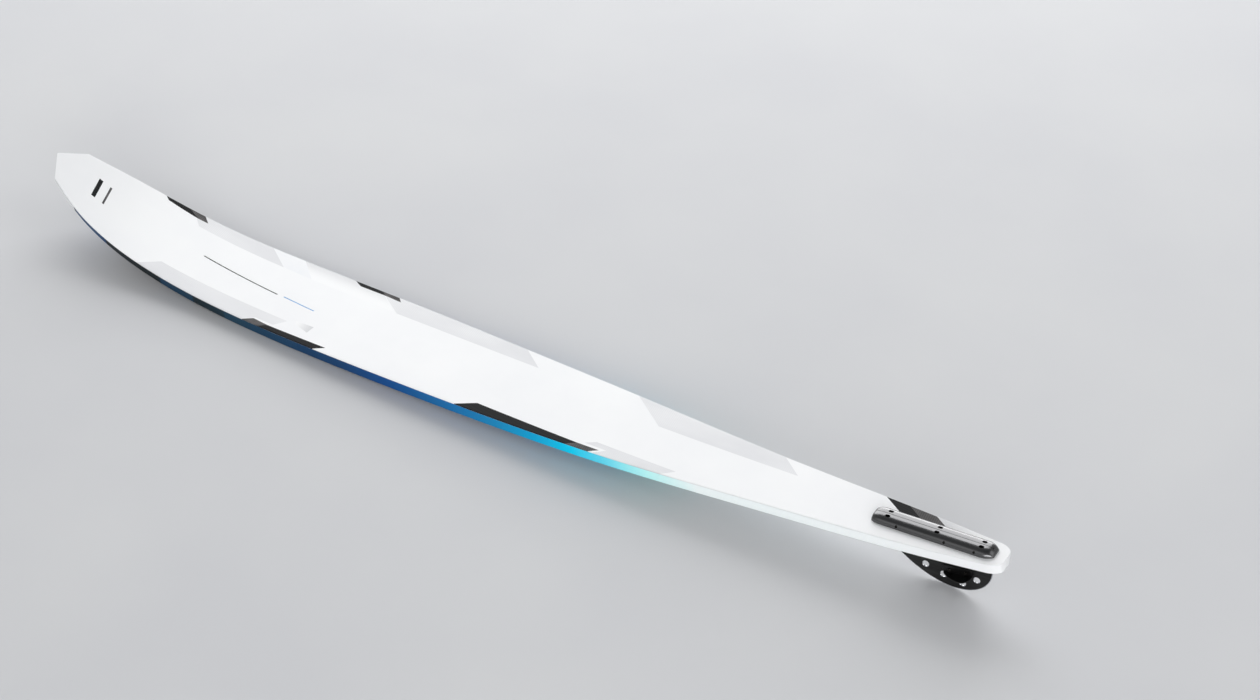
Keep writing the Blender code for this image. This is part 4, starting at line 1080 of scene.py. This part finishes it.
def build_fin(colours):
    """The fin blade with milled edges, five round holes, and the wing's hole and slot."""
    outline = [(-HALF_FIN, FIN_TOP)] + cubic(FIN_REAR_EDGE, 40) + cubic(FIN_FRONT_EDGE, 60)
    outline += [FIN_FRONT_EDGE[-1], (HALF_FIN, FIN_TOP)]
    mesh = plate(outline, -FIN_HALF, FIN_HALF, bevel=0.0010, land=0.0004, upright=False)
    for bar in FIN_BARS:
        inlay(mesh, bar, 2, lambda normal: normal.y < -0.9, (0, 2))
    finishes = [metal(colours, name)
                for name in ("anodised_rolled_aluminium_sheet", "milled_aluminium_edge")]
    fin = linked_object("fin", mesh, BLOCK_FRAME, [*finishes, pad_print(colours)])
    pivot = (WING_PIVOT[0], WING_PIVOT[2])
    first, last = math.pi - math.radians(WING_SLOT_SPAN), math.pi
    spacing = -WING_SCREWS[1][0]
    cutters = [hole_cutter(lambda m, c=centre: circle(FIN_HOLE_RADIUS + m, 48, c), 0.00035)
               for centre in FIN_HOLES]
    cutters.append(hole_cutter(lambda m: circle(SCREW_ROOM + m, 32, pivot), 0.0002))
    cutters.append(hole_cutter(lambda m: arc_slot(spacing, pivot, first, last, SCREW_ROOM + m), 0.0002))
    carve(fin, cutters)
    for face in fin.data.polygons:
        if abs(face.normal.y) < 0.97:
            face.material_index = 1
    dress(fin, "fin", ["fin_blade"], 20.0)


def build_wing(colours):
    """The wing's two halves: a swept blade with a flange that is screwed to the fin."""
    finishes = [metal(colours, name)
                for name in ("anodised_bent_aluminium_sheet", "milled_aluminium_edge")]
    blade = cubic(WING_LEADING, 24) + cubic(WING_TRAILING, 24) + [WING_TRAILING[-1]]
    for name, side, node in (("left_wing", 1, "wing_left"), ("right_wing", -1, "wing_right")):
        outline = [(x, side * y) for x, y in blade][::side]
        near, far = sorted((side * WING_INNER, side * (WING_INNER + WING_SHEET)))
        mesh = plate(outline, WING_FOOT, WING_FOOT + WING_SHEET, bevel=0.0004, land=0.0002)
        wing = linked_object(name, mesh, WING_FRAME, finishes)
        flange = plate(WING_FLANGE, near, far, bevel=0.0002, land=0.0004, upright=False)
        carve(wing, [linked_object("flange", flange, WING_FRAME)], "UNION")
        holes = [circle(SCREW_ROOM, 32, spot) for spot in WING_SCREWS]
        carve(wing, [straight_cutter(holes, upright=False, matrix=WING_FRAME)])
        dress(wing, "wing", [node], 24.0)


class WATERSKI_OT_top_sheet(Operator):
    """Moulds the top sheet with its printed fields"""
    bl_idname = "water_ski.top_sheet"
    bl_label = "Top Sheet"
    bl_options = {"REGISTER", "UNDO"}

    def execute(self, context):
        build_top_sheet(context.scene.water_ski_sizes, context.scene.water_ski_colours)
        return {"FINISHED"}


class WATERSKI_OT_base_sheet(Operator):
    """Moulds the base sheet, which also covers the rails"""
    bl_idname = "water_ski.base_sheet"
    bl_label = "Base Sheet and Rails"
    bl_options = {"REGISTER", "UNDO"}

    def execute(self, context):
        build_base_sheet(context.scene.water_ski_sizes, context.scene.water_ski_colours)
        return {"FINISHED"}


class WATERSKI_OT_inside(Operator):
    """Finishes the foam core and the brass inserts"""
    bl_idname = "water_ski.inside"
    bl_label = "Core and Inserts"
    bl_options = {"REGISTER", "UNDO"}

    def execute(self, context):
        build_inside(context.scene.water_ski_colours)
        return {"FINISHED"}


class WATERSKI_OT_fin_block(Operator):
    """Builds the two rails of the fin block"""
    bl_idname = "water_ski.fin_block"
    bl_label = "Fin Block"
    bl_options = {"REGISTER", "UNDO"}

    def execute(self, context):
        build_block(context.scene.water_ski_colours)
        return {"FINISHED"}


class WATERSKI_OT_fin(Operator):
    """Builds the fin blade"""
    bl_idname = "water_ski.fin"
    bl_label = "Fin"
    bl_options = {"REGISTER", "UNDO"}

    def execute(self, context):
        build_fin(context.scene.water_ski_colours)
        return {"FINISHED"}


class WATERSKI_OT_wing(Operator):
    """Builds the wing's two halves"""
    bl_idname = "water_ski.wing"
    bl_label = "Wing"
    bl_options = {"REGISTER", "UNDO"}

    def execute(self, context):
        build_wing(context.scene.water_ski_colours)
        return {"FINISHED"}


class WATERSKI_OT_screws(Operator):
    """Builds the screws and nuts of the block and the wing"""
    bl_idname = "water_ski.screws"
    bl_label = "Screws and Nuts"
    bl_options = {"REGISTER", "UNDO"}

    def execute(self, context):
        build_screws(context.scene.water_ski_sizes, context.scene.water_ski_colours)
        return {"FINISHED"}


class WATERSKI_OT_stage(Operator):
    """Sets the plain pale studio: floor, softboxes, surroundings and camera"""
    bl_idname = "water_ski.stage"
    bl_label = "Studio"
    bl_options = {"REGISTER", "UNDO"}

    def execute(self, context):
        scene = context.scene
        build_floor(scene.water_ski_colours)
        build_light(scene, scene.water_ski_studio)
        build_camera(scene)
        return {"FINISHED"}


def build_floor(colours):
    mesh = bmesh.new()
    bmesh.ops.create_circle(mesh, cap_ends=True, segments=96, radius=4.2)
    # Matt seamless paper: a faint tooth, so that the light on it isn't quite even
    made = new_finish("matt_seamless_paper", {"Roughness": 0.9})
    tone = vary(made, colours.floor, colours.floor_shade, 400.0)
    floor = linked_object("studio_floor", mesh, materials=[finished(made, tone, (3.0, 0.05))])


def build_light(scene, studio):
    for name, azimuth, elevation, distance, size, watts in (
            ("key_softbox", -60.0, 30.0, 5.2, (5.6, 3.8), studio.key_strength),
            ("edge_softbox", -80.0, 8.0, 5.6, (4.0, 1.4), studio.edge_strength),
            ("side_softbox", 128.0, 16.0, 6.0, (5.2, 2.4), studio.side_strength),
            ("fill_softbox", 70.0, 38.0, 6.4, (4.8, 3.2), studio.fill_strength),
            ("back_softbox", 195.0, 38.0, 6.4, (4.8, 3.2), studio.back_strength)):
        lamp = bpy.data.lights.new(name, "AREA")
        lamp.shape = "RECTANGLE"
        lamp.size, lamp.size_y = size
        lamp.energy = watts
        item = bpy.data.objects.new(name, lamp)
        turn, rise = math.radians(azimuth), math.radians(elevation)
        level = math.cos(rise)
        towards = Vector((level * math.cos(turn), level * math.sin(turn), math.sin(rise)))
        item.location = towards * distance
        item.rotation_euler = towards.to_track_quat("Z", "Y").to_euler()
        scene.collection.objects.link(item)
    world = bpy.data.worlds.new("pale_surroundings")
    world.use_nodes = True
    tree = world.node_tree
    background = tree.nodes["Background"]
    # Paler at the horizon than overhead, as in a studio with white walls and a high ceiling
    place = add_node(tree, "ShaderNodeTexCoord").outputs["Generated"]
    height = add_node(tree, "ShaderNodeSeparateXYZ", inputs={0: place}).outputs[2]
    share = add_node(tree, "ShaderNodeMapRange", inputs={"Value": height}).outputs[0]
    tone = add_node(tree, "ShaderNodeMix", {"data_type": "RGBA"}, {
        0: share, 6: hex_to_linear("#FFFFFF"), 7: hex_to_linear("#8E9092")}).outputs[2]
    tree.links.new(tone, background.inputs["Color"])
    background.inputs["Strength"].default_value = studio.sky_strength
    scene.world = world


def build_camera(scene):
    data = bpy.data.cameras.new("camera")
    data.sensor_width = 36.0
    data.lens = 72.9185
    data.clip_end = 50.0
    camera = bpy.data.objects.new("camera", data)
    camera.location = (-1.63497, 2.42156, 2.41964)
    camera.rotation_euler = [math.radians(angle) for angle in (51.3354, -1.7194, -148.5536)]
    scene.collection.objects.link(camera)
    scene.camera = camera


class WATERSKI_PT_panel(Panel):
    """Lists the ski's settings and steps"""
    bl_idname = "WATERSKI_PT_panel"
    bl_label = "Slalom Water Ski"
    bl_space_type = "VIEW_3D"
    bl_region_type = "UI"
    bl_category = "Water Ski"

    def draw(self, context):
        layout = self.layout
        scene = context.scene
        for heading, settings in (("Sizes", scene.water_ski_sizes), ("Colours", scene.water_ski_colours),
                                  ("Studio", scene.water_ski_studio)):
            box = layout.box()
            box.label(text=heading)
            for name in settings.__annotations__:
                box.prop(settings, name)
        for step in STEPS:
            layout.operator(step.bl_idname)


STEPS = (WATERSKI_OT_top_sheet, WATERSKI_OT_base_sheet, WATERSKI_OT_inside, WATERSKI_OT_fin_block,
         WATERSKI_OT_fin, WATERSKI_OT_wing, WATERSKI_OT_screws, WATERSKI_OT_stage)
SETTINGS = (("water_ski_sizes", WaterSkiSizes), ("water_ski_colours", WaterSkiColours),
            ("water_ski_studio", WaterSkiStudio))


def register():
    for name, settings in SETTINGS:
        bpy.utils.register_class(settings)
        setattr(bpy.types.Scene, name, PointerProperty(type=settings))
    for item in (*STEPS, WATERSKI_PT_panel):
        bpy.utils.register_class(item)


def unregister():
    for item in (WATERSKI_PT_panel, *reversed(STEPS)):
        bpy.utils.unregister_class(item)
    for name, settings in reversed(SETTINGS):
        delattr(bpy.types.Scene, name)
        bpy.utils.unregister_class(settings)


def main():
    register()
    for step in STEPS:
        group, name = step.bl_idname.split(".")
        getattr(getattr(bpy.ops, group), name)()
    scene = bpy.context.scene
    scene.view_settings.view_transform = "Standard"


if __name__ == "__main__":
    main()
